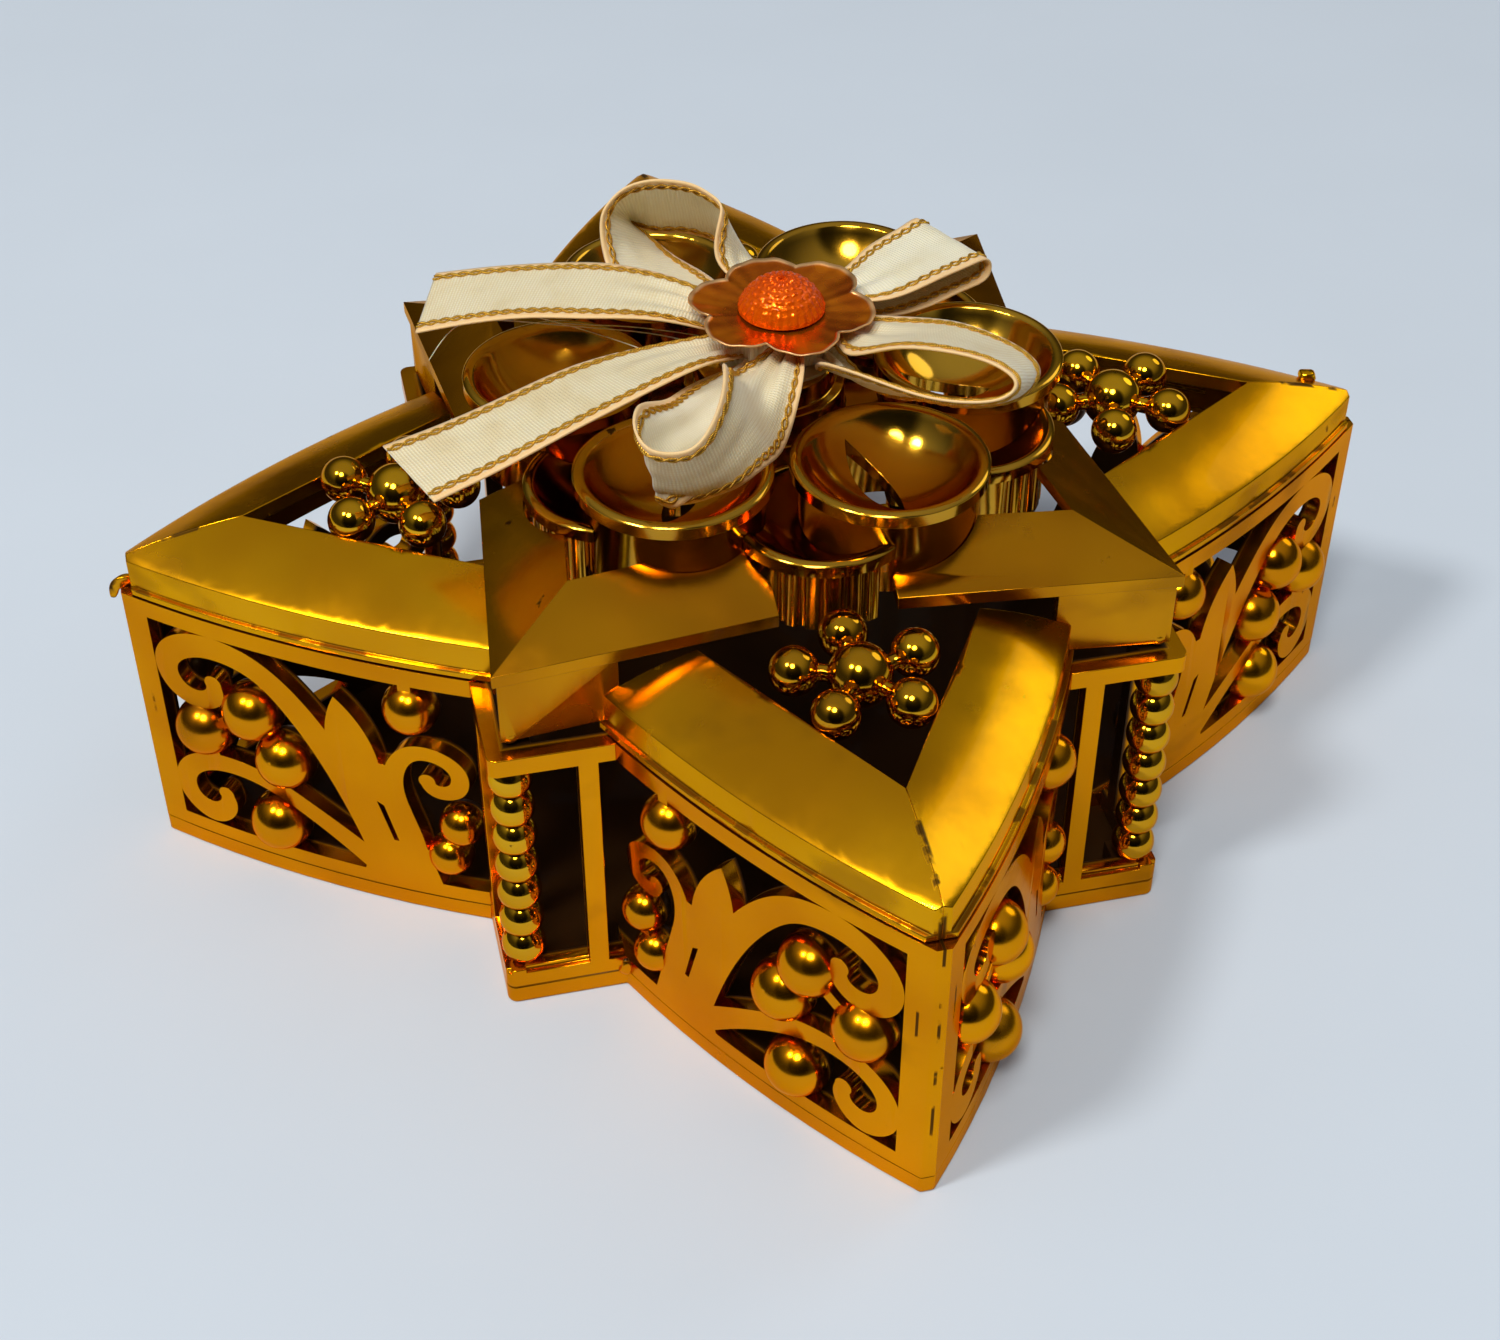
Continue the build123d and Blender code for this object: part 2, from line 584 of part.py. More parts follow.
def bow_knot():
    """The gathered middle of the bow: a low barrel."""
    outline = [
        Line((0, knot_bottom), (knot_radius, knot_bottom)),
        ThreePointArc(
            (knot_radius, knot_bottom), (knot_radius + knot_bulge, (knot_bottom + knot_top) / 2),
            (knot_radius, knot_top)),
        Line((knot_radius, knot_top), (0, knot_top)),
        Line((0, knot_top), (0, knot_bottom)),
    ]
    return Pos(knot_x, knot_y, 0) * revolve(Plane.XZ * make_face(outline), Axis.Z)


def flower_foil():
    """Six-lobed foil cut from a shallow dish."""
    lobes = Sketch() + Circle(foil_middle_radius)
    for n in range(foil_lobes):
        reach = foil_radius - foil_lobe_radius
        lobes += Rot(0, 0, foil_turn + n * 360 / foil_lobes) * Pos(reach, 0) * Circle(foil_lobe_radius)
    ball = (foil_radius**2 + foil_cup**2) / (2 * foil_cup)
    dish = Pos(0, 0, ball) * (Sphere(ball) - Sphere(ball - foil_thickness))
    foil = extrude(lobes, 2 * (foil_cup + foil_thickness), dir=(0, 0, 1)) & dish
    return Pos(knot_x, knot_y, foil_bottom) * foil


def flower_dome():
    """Domed middle of the foil flower, hollowed below to follow the foil."""
    ball = (dome_radius**2 + dome_height**2) / (2 * dome_height)
    base = foil_bottom + foil_thickness + foil_cup / 4
    cap = Pos(0, 0, base + dome_height - ball) * Sphere(ball) & block(-far, far, -far, far, base, far)
    return Pos(knot_x, knot_y, 0) * cap


def glue_pad():
    """Spread glue between the boss and the knot."""
    return Pos(knot_x, knot_y, boss_top + glue_thickness / 2) * Cylinder(glue_radius, glue_thickness)


save(star_floor(), "base_floor")
panel = openwork_side()
rail = point_rail()
frame = corner_frame()
column = bead_column()
cluster = bead_cluster()
cutters = upper_cutters()
plate = corner_plate()
for q in quarters:
    save(turned(panel, q), f"panel_{point_names[q]}_point_{side_names[q]}_side")
    save(turned(mirror(panel, Plane.XZ), q), f"panel_{point_names[q]}_point_{mirror_names[q]}_side")
    save(turned(frame, q), f"corner_frame_{corner_names[q]}")
    save(turned(column, q), f"bead_column_{corner_names[q]}")
    save_lid(turned(rail, q), f"point_rail_{point_names[q]}_point_{side_names[q]}_side")
    save_lid(turned(mirror(rail, Plane.XZ), q), f"point_rail_{point_names[q]}_point_{mirror_names[q]}_side")
    save_lid(turned(cluster, q), f"bead_cluster_{point_names[q]}")
    save_lid(turned(plate, q) - (cutters + lower_cutters()), f"corner_plate_{corner_names[q]}")
for n, petal in enumerate(upper_petals()):
    save_lid(petal, f"upper_petal_{n + 1}")
for n, petal in enumerate(lower_petals(cutters)):
    save_lid(petal, f"lower_petal_{n + 1}")
save_lid(rosette_hub(), "rosette_hub")

save_lid(glue_pad(), "glue_pad")
save_lid(bow_knot(), "bow_knot")
save_lid(flower_foil(), "flower_foil")
save_lid(flower_dome(), "flower_dome")
for name, pairs in ribbons.items():
    save_lid(ribbon(pairs), name)
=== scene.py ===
import json
import math
import bmesh
import bpy
import numpy as np
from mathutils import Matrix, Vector


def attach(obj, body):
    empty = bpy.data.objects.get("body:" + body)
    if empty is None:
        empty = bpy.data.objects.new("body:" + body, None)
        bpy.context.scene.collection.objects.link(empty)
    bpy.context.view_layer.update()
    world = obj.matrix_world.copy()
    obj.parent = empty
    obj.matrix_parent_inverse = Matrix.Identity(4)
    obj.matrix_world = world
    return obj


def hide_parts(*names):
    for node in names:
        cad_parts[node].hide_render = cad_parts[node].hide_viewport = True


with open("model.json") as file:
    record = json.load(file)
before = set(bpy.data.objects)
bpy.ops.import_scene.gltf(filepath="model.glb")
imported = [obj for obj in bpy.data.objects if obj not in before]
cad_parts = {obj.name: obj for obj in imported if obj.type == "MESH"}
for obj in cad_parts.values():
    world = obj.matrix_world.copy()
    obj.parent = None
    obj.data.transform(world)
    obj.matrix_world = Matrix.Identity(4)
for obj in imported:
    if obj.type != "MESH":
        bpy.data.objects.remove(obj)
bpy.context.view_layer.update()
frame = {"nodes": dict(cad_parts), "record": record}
nodes = frame["nodes"]
scene = bpy.context.scene
mm = 0.001
print("frame:", len(nodes), "nodes")


class Value:
    # a shader socket that takes part in sums: each sum adds a Math node
    def __init__(self, finish, socket):
        self.finish = finish
        self.socket = socket

    def math(self, operation, first, second):
        return self.finish.node("ShaderNodeMath", {"operation": operation}, {0: first, 1: second})

    def __add__(self, other):
        return self.math("ADD", self, other)

    def __sub__(self, other):
        return self.math("SUBTRACT", self, other)

    def __rsub__(self, other):
        return self.math("SUBTRACT", other, self)

    def __mul__(self, other):
        return self.math("MULTIPLY", self, other)

    def sine(self):
        return self.math("SINE", self, 0.0)

    def size(self):
        return self.math("ABSOLUTE", self, 0.0)

    def root(self):
        return self.math("SQRT", self, 0.0)

    def lesser(self, other):
        return self.math("MINIMUM", self, other)

    def greater(self, other):
        return self.math("MAXIMUM", self, other)

    def wave(self, pitch):
        # from 0 to 1 and back once in each pitch
        return (self * (2 * math.pi / pitch)).sine() * 0.5 + 0.5

    def step(self, low, high):
        # 0 below low, 1 above high, smooth between; low may be the larger one
        return self.finish.node(
            "ShaderNodeMapRange", {"interpolation_type": "SMOOTHSTEP"},
            {"Value": self, "From Min": low, "From Max": high})

    __radd__ = __add__


class Finish:
    # a material with one Principled shader, fed by node()
    def __init__(self, name, constants):
        self.material = bpy.data.materials.new(name)
        self.material.use_nodes = True
        self.tree = self.material.node_tree
        self.shader = next(n for n in self.tree.nodes if n.type == "BSDF_PRINCIPLED")
        for socket, value in constants.items():
            self.shader.inputs[socket].default_value = value

    def feed(self, socket, value):
        if isinstance(value, Value):
            self.tree.links.new(value.socket, socket)
        else:
            socket.default_value = value

    def node(self, kind, settings, sockets, output=0):
        made = self.tree.nodes.new(kind)
        for name, value in settings.items():
            setattr(made, name, value)
        for name, value in sockets.items():
            self.feed(made.inputs[name], value)
        return Value(self, made.outputs[output])

    def place(self):
        return self.node("ShaderNodeTexCoord", {}, {}, "Object")

    def uv(self, axis):
        coordinates = self.node("ShaderNodeTexCoord", {}, {}, "UV")
        return self.node("ShaderNodeSeparateXYZ", {}, {0: coordinates}, axis)

    def along(self, axis):
        return self.node("ShaderNodeSeparateXYZ", {}, {0: self.place()}, axis)

    def cloud(self, scale, detail, stretch=(1.0, 1.0, 1.0)):
        spot = self.node("ShaderNodeVectorMath", {"operation": "MULTIPLY"}, {0: self.place(), 1: stretch})
        return self.node("ShaderNodeTexNoise", {}, {"Vector": spot, "Scale": scale, "Detail": detail})

    def patch(self, scale, detail, low, high, stretch=(1.0, 1.0, 1.0)):
        # a cloud cut to patches from 0 to 1
        return self.cloud(scale, detail, stretch).step(low, high)

    def mix(self, factor, first, second):
        colours = {6: paint(first), 7: paint(second)}
        return self.node("ShaderNodeMix", {"data_type": "RGBA"}, {0: factor, **colours}, 2)

    def bump(self, height, distance, strength=1.0):
        sockets = {"Strength": strength, "Distance": distance, "Height": height}
        self.set("Normal", self.node("ShaderNodeBump", {}, sockets))

    def set(self, socket, value):
        self.feed(self.shader.inputs[socket], value)


def paint(colour):
    # three numbers become a colour with full alpha
    return colour if isinstance(colour, Value) else (*colour, 1.0)


# tints of the gold coating on each kind of moulded face, and the skin that all of them share
goldSettings = {
    "side": {
        "bright": (0.86, 0.34, 0.002), "deep": (0.68, 0.23, 0.002),
        "rough": 0.14, "haze": 0.1, "ripple": 0.2, "lacquer": 0.06},
    "corner": {
        "bright": (0.86, 0.34, 0.002), "deep": (0.68, 0.23, 0.002),
        "rough": 0.14, "haze": 0.1, "ripple": 0.2, "lacquer": 0.06},
    "floor": {
        "bright": (0.84, 0.32, 0.002), "deep": (0.66, 0.22, 0.002),
        "rough": 0.18, "haze": 0.1, "ripple": 0.2, "lacquer": 0.06},
    "top": {
        "bright": (0.86, 0.4, 0.004), "deep": (0.7, 0.29, 0.003),
        "rough": 0.18, "haze": 0.1, "ripple": 0.13, "lacquer": 0.06},
    "plate": {
        "bright": (0.66, 0.27, 0.004), "deep": (0.5, 0.18, 0.003),
        "rough": 0.16, "haze": 0.1, "ripple": 0.25, "lacquer": 0.06},
    "petal": {
        "bright": (0.7, 0.37, 0.024), "deep": (0.52, 0.25, 0.012),
        "rough": 0.08, "haze": 0.08, "ripple": 0.16, "lacquer": 0.2},
    "bead": {
        "bright": (0.82, 0.42, 0.01), "deep": (0.6, 0.27, 0.006),
        "rough": 0.06, "haze": 0.05, "ripple": 0.12, "lacquer": 0.12},
}
skinSettings = {
    "edgeTint": (1.0, 0.6, 0.14, 1.0),
    "lacquerRough": 0.03,
    "patches": (60.0, 2.0, 0.3, 0.7),
    "fine": (900.0, 4.0),
    "fineRough": 0.05,
    "haze": (150.0, 4.0, 0.36, 0.86, (1.0, 1.0, 0.5)),
    "hazeTint": 0.3,
    "smudges": (75.0, 3.0, 0.56, 0.72, (1.0, 1.0, 1.6)),
    "smudgeColour": (0.20, 0.075, 0.006),
    "smudgeTint": 0.45,
    "smudgeRough": 0.1,
    "darkMarks": (420.0, 6.0, 0.70, 0.74),
    "nickAreas": (60.0, 2.0, 0.52, 0.62),
    # this colour also paints the shade along the lid's seam
    "nickAndSeamShadeColour": (0.03, 0.012, 0.004),
    "nickAndSeamShadeTint": 0.9,
    "nickRough": 0.3,
    "ripples": (110.0, 1.0),
    "fineRipple": 0.04,
    "rippleDepth": 0.001,
}
# the bowed sides are arcs of one circle, seen in a quarter turned so that x is the longer reach;
# a pair is where a mask begins and where it is full, in metres or as the upward share of a normal
# painted shade: the faces these settings pick out are darkened to a near-black brown and made less metallic,
# as if in shade
paintedShadeSettings = {
    "arcCentre": (-0.0232, -0.0916),
    "arcRadius": 0.1242,
    "cornerReach": 0.03105,
    "innerSkin": (0.00117, 0.00171),
    "floorTop": (0.0018, 0.0019),
    "facesUp": (0.5, 0.8),
    "facesDown": (-0.15, -0.4),
    "colour": (0.030, 0.011, 0.003),
    "rough": 0.2,
    "dull": 0.6,
}
# the seam entries place a painted shade along the gap between lid and base
darkLineSettings = {
    "breaks": (310.0, 5.0, 0.5, 0.58),
    "tip": (0.049, 0.051),
    "mitreWide": (0.00045, 0.0002),
    "postWide": (0.00018, 0.0001),
    "grooveReach": 0.0590,
    "grooveWide": (0.00014, 0.00007),
    "grooveHeight": 0.02,
    "grooveTall": (0.0045, 0.0035),
    "seamHeight": 0.0302,
    "seamTall": (0.00022, 0.00008),
    "seamShadeShare": 0.8,
}


def folded(finish):
    # longer and shorter reach from the middle, whichever way a point of the star looks
    x = finish.along(0).size()
    y = finish.along(1).size()
    return x.greater(y), x.lesser(y), finish.along(2)


def paintedShadeMask(finish, kind):
    # painted shade: 1 on the inner skins of the sides, the floor's top and the undersides of the lid, which
    # are darkened as if in shade
    long, short, height = folded(finish)
    normal = finish.node("ShaderNodeTexCoord", {}, {}, "Normal")
    up = finish.node("ShaderNodeSeparateXYZ", {}, {0: normal}, 2)
    looks = paintedShadeSettings
    if kind == "side":
        x = long - looks["arcCentre"][0]
        y = short - looks["arcCentre"][1]
        depth = looks["arcRadius"] - (x * x + y * y).root()
        return depth.step(*looks["innerSkin"])
    if kind == "corner":
        return (looks["cornerReach"] - long).step(*looks["innerSkin"])
    if kind == "floor":
        return height.step(*looks["floorTop"]) * up.step(*looks["facesUp"])
    return up.step(*looks["facesDown"])


def darkLineMask(finish, kind):
    # dark lines, broken: on the sides beside the tip's post and upright near each tip; on the lid down the
    # mitre of each tip, and a painted shade along the seam where the lid meets the base
    long, short, height = folded(finish)
    looks = darkLineSettings
    breaks = finish.patch(*looks["breaks"])
    tip = long.step(*looks["tip"])
    if kind == "side":
        groove = (long - looks["grooveReach"]).size().step(*looks["grooveWide"])
        groove = groove * (height - looks["grooveHeight"]).size().step(*looks["grooveTall"])
        return (short.step(*looks["postWide"]) * tip).greater(groove) * breaks
    # painted shade in the gap along the lid's seam
    seamShade = (height - looks["seamHeight"]).size().step(*looks["seamTall"])
    return (seamShade * looks["seamShadeShare"]).greater(short.step(*looks["mitreWide"]) * tip) * breaks


def metalFinish(name, kind, shadeHollows=True):
    # vacuum-coated plastic: tint in broad patches, hazy where handled, smudges, dark nicks and dark lines, a
    # painted shade along the lid's seam, a painted shade on the hollow faces, a rippled skin
    colours = goldSettings[kind]
    looks = skinSettings
    finish = Finish(name, {
        "Specular Tint": looks["edgeTint"],
        "Coat Weight": colours["lacquer"], "Coat Roughness": looks["lacquerRough"]})
    patches = finish.patch(*looks["patches"])
    fine = finish.cloud(*looks["fine"])
    haze = finish.patch(*looks["haze"])
    smudges = finish.patch(*looks["smudges"])
    darkMarks = finish.patch(*looks["darkMarks"]) * finish.patch(*looks["nickAreas"])
    if kind in ("side", "top", "plate"):
        # the dark lines, with the painted shade of the seam, join the nicks and take their colour
        darkMarks = darkMarks.greater(darkLineMask(finish, kind))
    tint = finish.mix(patches, colours["deep"], colours["bright"])
    tint = finish.mix(haze * looks["hazeTint"], tint, colours["deep"])
    tint = finish.mix(smudges * looks["smudgeTint"], tint, looks["smudgeColour"])
    tint = finish.mix(darkMarks * looks["nickAndSeamShadeTint"], tint, looks["nickAndSeamShadeColour"])
    rough = colours["rough"] + haze * colours["haze"] + fine * looks["fineRough"]
    rough = rough + darkMarks * looks["nickRough"] + smudges * looks["smudgeRough"]
    # painted shade on the hollow faces: near-black, rougher and less metallic
    if shadeHollows:
        paintedShade = paintedShadeMask(finish, kind)
        tint = finish.mix(paintedShade, tint, paintedShadeSettings["colour"])
        rough = rough + paintedShade * paintedShadeSettings["rough"]
        finish.set("Metallic", 1.0 - paintedShade * paintedShadeSettings["dull"])
    else:
        finish.set("Metallic", 1.0)
    finish.set("Base Color", tint)
    finish.set("Roughness", rough)
    ripples = finish.cloud(*looks["ripples"]) + fine * looks["fineRipple"]
    finish.bump(ripples, looks["rippleDepth"], colours["ripple"])
    return finish.material


goldSide = metalFinish("gold_side", "side")
goldCorner = metalFinish("gold_corner", "corner")
goldFloor = metalFinish("gold_floor", "floor")
goldTop = metalFinish("gold_top", "top")
goldPlate = metalFinish("gold_plate", "plate")
goldPetal = metalFinish("gold_petal", "petal")
goldBead = metalFinish("gold_bead", "bead", shadeHollows=False)


# pitches and widths in mm, as on the ribbon's map, which has the way along and the way across
clothSettings = {
    "outer": {
        "cloth": (0.93, 0.86, 0.64), "shade": (0.82, 0.71, 0.46),
        "rough": 0.36, "open": 0.35, "grain": 0.5725},
    "inner": {
        "cloth": (0.88, 0.79, 0.55), "shade": (0.70, 0.55, 0.30),
        "rough": 0.48, "open": 1.0, "grain": 0.8},
    "shader": {
        "Sheen Weight": 0.3, "Sheen Roughness": 0.35, "Subsurface Weight": 0.3,
        "Subsurface Radius": (1.0, 0.8, 0.5), "Subsurface Scale": 0.0008, "Specular IOR Level": 0.6},
    "weftPitch": 0.3,
    "warpPitch": 0.39,
    "clouds": (240.0, 3.0),
    "cloudRange": (0.1, 0.6),
    "cloudRough": 0.1,
    "cloudRise": 0.5,
    "selvedge": (0.92, 0.56, 0.24),
    "selvedgeRange": (0.72, 0.52),
    "selvedgeTint": 0.9,
    "selvedgeRough": 0.2,
    "depth": 0.00005,
    "strength": 0.7,
    "width": 10.0,
}


def ribbonFinish(name, face):
    # satin: long floats across the ribbon, fine threads along it, a peach selvedge at both edges
    looks = clothSettings
    colours = looks[face]
    finish = Finish(name, looks["shader"])
    across = finish.uv(1)
    wefts = finish.uv(0).wave(looks["weftPitch"])
    weave = wefts * (1.0 - colours["open"] * 0.5) + wefts * across.wave(looks["warpPitch"]) * colours["open"]
    clouds = finish.cloud(*looks["clouds"])
    tint = finish.mix(clouds.step(*looks["cloudRange"]), colours["shade"], colours["cloth"])
    tint = finish.mix((1.0 - weave) * colours["grain"], tint, colours["shade"])
    edge = across.lesser(looks["width"] - across)
    hem = edge.step(*looks["selvedgeRange"])
    finish.set("Base Color", finish.mix(hem * looks["selvedgeTint"], tint, looks["selvedge"]))
    finish.set("Roughness", colours["rough"] + clouds * looks["cloudRough"] + hem * looks["selvedgeRough"])
    finish.bump(weave * (1.0 - hem) + clouds * looks["cloudRise"], looks["depth"], looks["strength"])
    return finish.material


ribbonOuter = ribbonFinish("ribbon_face", "outer")
ribbonInner = ribbonFinish("ribbon_back", "inner")


# the wrap's phase in radians, for each mm along the thread and for one turn round it
threadSettings = {
    "shader": {"Metallic": 0.8, "Specular Tint": (1.0, 0.75, 0.3, 1.0)},
    "wrapAlong": 60.0,
    "wrapRound": 6.28,
    # dark is a painted shade for the wrap's grooves, light a painted highlight for its crests
    "dark": (0.34, 0.12, 0.005),
    "light": (1.0, 0.62, 0.09),
    "rough": 0.2,
    "wrapRough": 0.2,
    "depth": 0.00003,
}


def threadFinish():
    # metal-wrapped thread: a fine slanted wrap along it, with a painted shade in its grooves and a painted
    # highlight on its crests
    looks = threadSettings
    finish = Finish("gold_thread", looks["shader"])
    phase = finish.uv(0) * looks["wrapAlong"] + finish.uv(1) * looks["wrapRound"]
    wrapShadeAndGlint = phase.sine() * 0.5 + 0.5
    # painted shade and painted highlight along the wrap
    finish.set("Base Color", finish.mix(wrapShadeAndGlint, looks["dark"], looks["light"]))
    finish.set("Roughness", looks["rough"] + wrapShadeAndGlint * looks["wrapRough"])
    finish.bump(wrapShadeAndGlint, looks["depth"])
    return finish.material


goldThread = threadFinish()


foilFinishSettings = {
    "shader": {
        "Metallic": 0.85, "Specular Tint": (1.0, 0.45, 0.12, 1.0),
        "Coat Weight": 0.1, "Coat Roughness": 0.12},
    "patches": (260.0, 3.0, 0.35, 0.65),
    "dark": (0.56, 0.115, 0.003),
    "light": (0.78, 0.21, 0.005),
    "streaks": 6,
    "streakRange": (0.55, 1.0),
    "streak": (0.36, 0.05, 0.002),
    "streakTint": 0.5,
    "rimRange": (0.94, 0.985),
    "rim": (0.90, 0.58, 0.26),
    "rimTint": 0.8,
    "rough": 0.22,
    "patchRough": 0.12,
    "rimRough": 0.1,
    "grain": (700.0, 3.0),
    "depth": 0.00012,
    "strength": 0.5,
}


def foilFinish():
    # stamped foil: copper brown, redder in streaks down the lobes, a pale raw rim
    looks = foilFinishSettings
    finish = Finish("flower_foil_copper", looks["shader"])
    out = finish.uv(1)
    rim = out.step(*looks["rimRange"])
    patches = finish.patch(*looks["patches"])
    tint = finish.mix(patches, looks["dark"], looks["light"])
    streak = finish.uv(0).wave(1 / looks["streaks"]).step(*looks["streakRange"])
    tint = finish.mix(streak * out * looks["streakTint"], tint, looks["streak"])
    finish.set("Base Color", finish.mix(rim * looks["rimTint"], tint, looks["rim"]))
    finish.set("Roughness", looks["rough"] + patches * looks["patchRough"] + rim * looks["rimRough"])
    finish.bump(finish.cloud(*looks["grain"]), looks["depth"], looks["strength"])
    return finish.material


foilCopper = foilFinish()


domeFinishSettings = {
    "shader": {
        "Metallic": 0.4, "Specular Tint": (1.0, 0.3, 0.06, 1.0),
        "Coat Weight": 0.12, "Coat Roughness": 0.04},
    "top": (0.74, 0.075, 0.001),
    "rim": (0.95, 0.14, 0.001),
    "speckles": (1500.0, 2.0, 0.4, 0.62),
    "speckle": (0.62, 0.05, 0.001),
    "speckleTint": 0.3,
    "rough": 0.16,
    "speckleRough": 0.12,
    "depth": 0.00005,
    "strength": 0.5,
}


def domeFinish():
    # clear orange plastic over foil: a brighter rim, darker between the grains
    looks = domeFinishSettings
    finish = Finish("flower_dome_orange", looks["shader"])
    speckles = finish.patch(*looks["speckles"])
    tint = finish.mix(finish.uv(1), looks["top"], looks["rim"])
    finish.set("Base Color", finish.mix(speckles * looks["speckleTint"], tint, looks["speckle"]))
    finish.set("Roughness", looks["rough"] + speckles * looks["speckleRough"])
    finish.bump(speckles, looks["depth"], looks["strength"])
    return finish.material


domeOrange = domeFinish()


glueSettings = {
    "shader": {"Subsurface Weight": 0.4, "Subsurface Scale": 0.001, "Coat Weight": 0.4},
    "clouds": (500.0, 3.0),
    "dark": (0.62, 0.50, 0.30),
    "light": (0.82, 0.74, 0.55),
    "rough": 0.22,
    "cloudRough": 0.2,
    "depth": 0.0001,
    "strength": 0.5,
}


def glueFinish():
    # set glue: cloudy, a little yellow, with small ripples
    looks = glueSettings
    finish = Finish("set_glue", looks["shader"])
    clouds = finish.cloud(*looks["clouds"])
    finish.set("Base Color", finish.mix(clouds, looks["dark"], looks["light"]))
    finish.set("Roughness", looks["rough"] + clouds * looks["cloudRough"])
    finish.bump(clouds, looks["depth"], looks["strength"])
    return finish.material


glueCloudy = glueFinish()
print("finishes made")

# gold pieces are the frame's own shapes with softened edges, rounded by this many mm
edgeSettings = {
    "panel": {"finish": goldSide, "slot": "gold_side", "round": 0.14},
    "corner_frame": {"finish": goldCorner, "slot": "gold_side", "round": 0.14},
    "base_floor": {"finish": goldFloor, "slot": "gold_side", "round": 0.2},
    "bead_column": {"finish": goldBead, "slot": "gold_bead", "round": 0.0},
    "bead_cluster": {"finish": goldBead, "slot": "gold_bead", "round": 0.0},
    "point_rail": {"finish": goldTop, "slot": "gold_top", "round": 0.16},
    "corner_plate": {"finish": goldPlate, "slot": "gold_top", "round": 0.16},
    "upper_petal": {"finish": goldPetal, "slot": "gold_top", "round": 0.2},
    "lower_petal": {"finish": goldPetal, "slot": "gold_top", "round": 0.2},
    "rosette_hub": {"finish": goldPetal, "slot": "gold_top", "round": 0.2},
}
mouldSettings = {
    "weld": 2e-6,
    "flatAngle": math.radians(0.3),
    "smoothAngle": math.radians(32),
    "segments": 2,
}
bodyOf = {name: body for body, names in frame["record"]["behaviour"]["bodies"].items() for name in names}


def softened(node, settings):
    # a joined-up copy of a node's mesh with its sharp edges rounded
    sizes = mouldSettings
    shape = bmesh.new()
    shape.from_mesh(nodes[node].data)
    bmesh.ops.remove_doubles(shape, verts=shape.verts, dist=sizes["weld"])
    bmesh.ops.dissolve_limit(shape, angle_limit=sizes["flatAngle"], verts=shape.verts, edges=shape.edges)
    mesh = bpy.data.meshes.new(node + "_moulded")
    shape.to_mesh(mesh)
    shape.free()
    mesh.shade_smooth()
    mesh.set_sharp_from_angle(angle=sizes["smoothAngle"])
    mesh.materials.clear()
    mesh.materials.append(settings["finish"])
    piece = bpy.data.objects.new(node + "_moulded", mesh)
    scene.collection.objects.link(piece)
    if settings["round"]:
        bevel = piece.modifiers.new("softEdge", "BEVEL")
        bevel.limit_method = "ANGLE"
        bevel.angle_limit = sizes["smoothAngle"]
        bevel.width = settings["round"] * mm
        bevel.segments = sizes["segments"]
        bevel.use_clamp_overlap = True
        bevel.harden_normals = False
    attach(piece, bodyOf[node])
    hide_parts(node)


for kind, settings in edgeSettings.items():
    for node in sorted(name for name in nodes if name.startswith(kind)):
        softened(node, settings)
nodes["glue_pad"].data.materials.clear()
nodes["glue_pad"].data.materials.append(glueCloudy)
print("gold pieces softened")


def surface(name, points, uvs, materials, closedColumns=False):
    # a mesh over a grid of points, rows by columns, with a face between each four neighbours
    rows, columns = points.shape[:2]
    index = np.arange(rows * columns).reshape(rows, columns)
    grid = uvs
    if closedColumns:
        index = np.concatenate([index, index[:, :1]], 1)
        grid = np.concatenate([uvs, 2 * uvs[:, -1:] - uvs[:, -2:-1]], 1)
    faces = np.stack([index[:-1, :-1], index[:-1, 1:], index[1:, 1:], index[1:, :-1]], -1).reshape(-1, 4)
    mesh = bpy.data.meshes.new(name)
    mesh.from_pydata(points.reshape(-1, 3).tolist(), [], faces.tolist())
    mesh.shade_smooth()
    corners = np.stack([grid[:-1, :-1], grid[:-1, 1:], grid[1:, 1:], grid[1:, :-1]], 2).reshape(-1, 2)
    layer = mesh.uv_layers.new(name="map")
    layer.data.foreach_set("uv", corners.astype(np.float32).ravel())
    for material in materials:
        mesh.materials.append(material)
    mesh.update()
    piece = bpy.data.objects.new(name, mesh)
    scene.collection.objects.link(piece)
    return piece


def smoothLine(points, along):
    # cubic spline through the points at 0, 1, 2..., without bend at both ends and straight beyond them
    count = len(points)
    system = 4 * np.eye(count) + np.eye(count, k=1) + np.eye(count, k=-1)
    system[0, 0] = system[-1, -1] = 2
    rise = np.empty_like(points)
    rise[1:-1] = 3 * (points[2:] - points[:-2])
    rise[0] = 3 * (points[1] - points[0])
    rise[-1] = 3 * (points[-1] - points[-2])
    slopes = np.linalg.solve(system, rise)
    span = np.clip(np.floor(along).astype(int), 0, count - 2)
    t = np.clip(along - span, 0, 1)[:, None]
    beyond = (along - span)[:, None] - t
    a, b, p, q = points[span], points[span + 1], slopes[span], slopes[span + 1]
    curve = a * (2 * t**3 - 3 * t**2 + 1) + b * (3 * t**2 - 2 * t**3)
    curve = curve + p * (t**3 - 2 * t**2 + t) + q * (t**3 - t**2)
    return curve + beyond * np.where(beyond < 0, p, q)


def unit(vectors):
    # the same directions at length 1
    return vectors / np.maximum(np.linalg.norm(vectors, axis=-1, keepdims=True), 1e-12)


def carried(path, across, upward, away):
    # a profile carried along a path and square to it, given as its reach to the side and its reach upward;
    # it is turned by a direction that the path never follows
    along = unit(np.gradient(path, axis=0))
    side = unit(np.cross(along, away))
    lift = np.cross(side, along)
    return path[:, None] + side[:, None] * across[..., None] + lift[:, None] * upward[..., None]


def turns(count):
    # even steps round a circle
    return np.arange(count) * 2 * np.pi / count


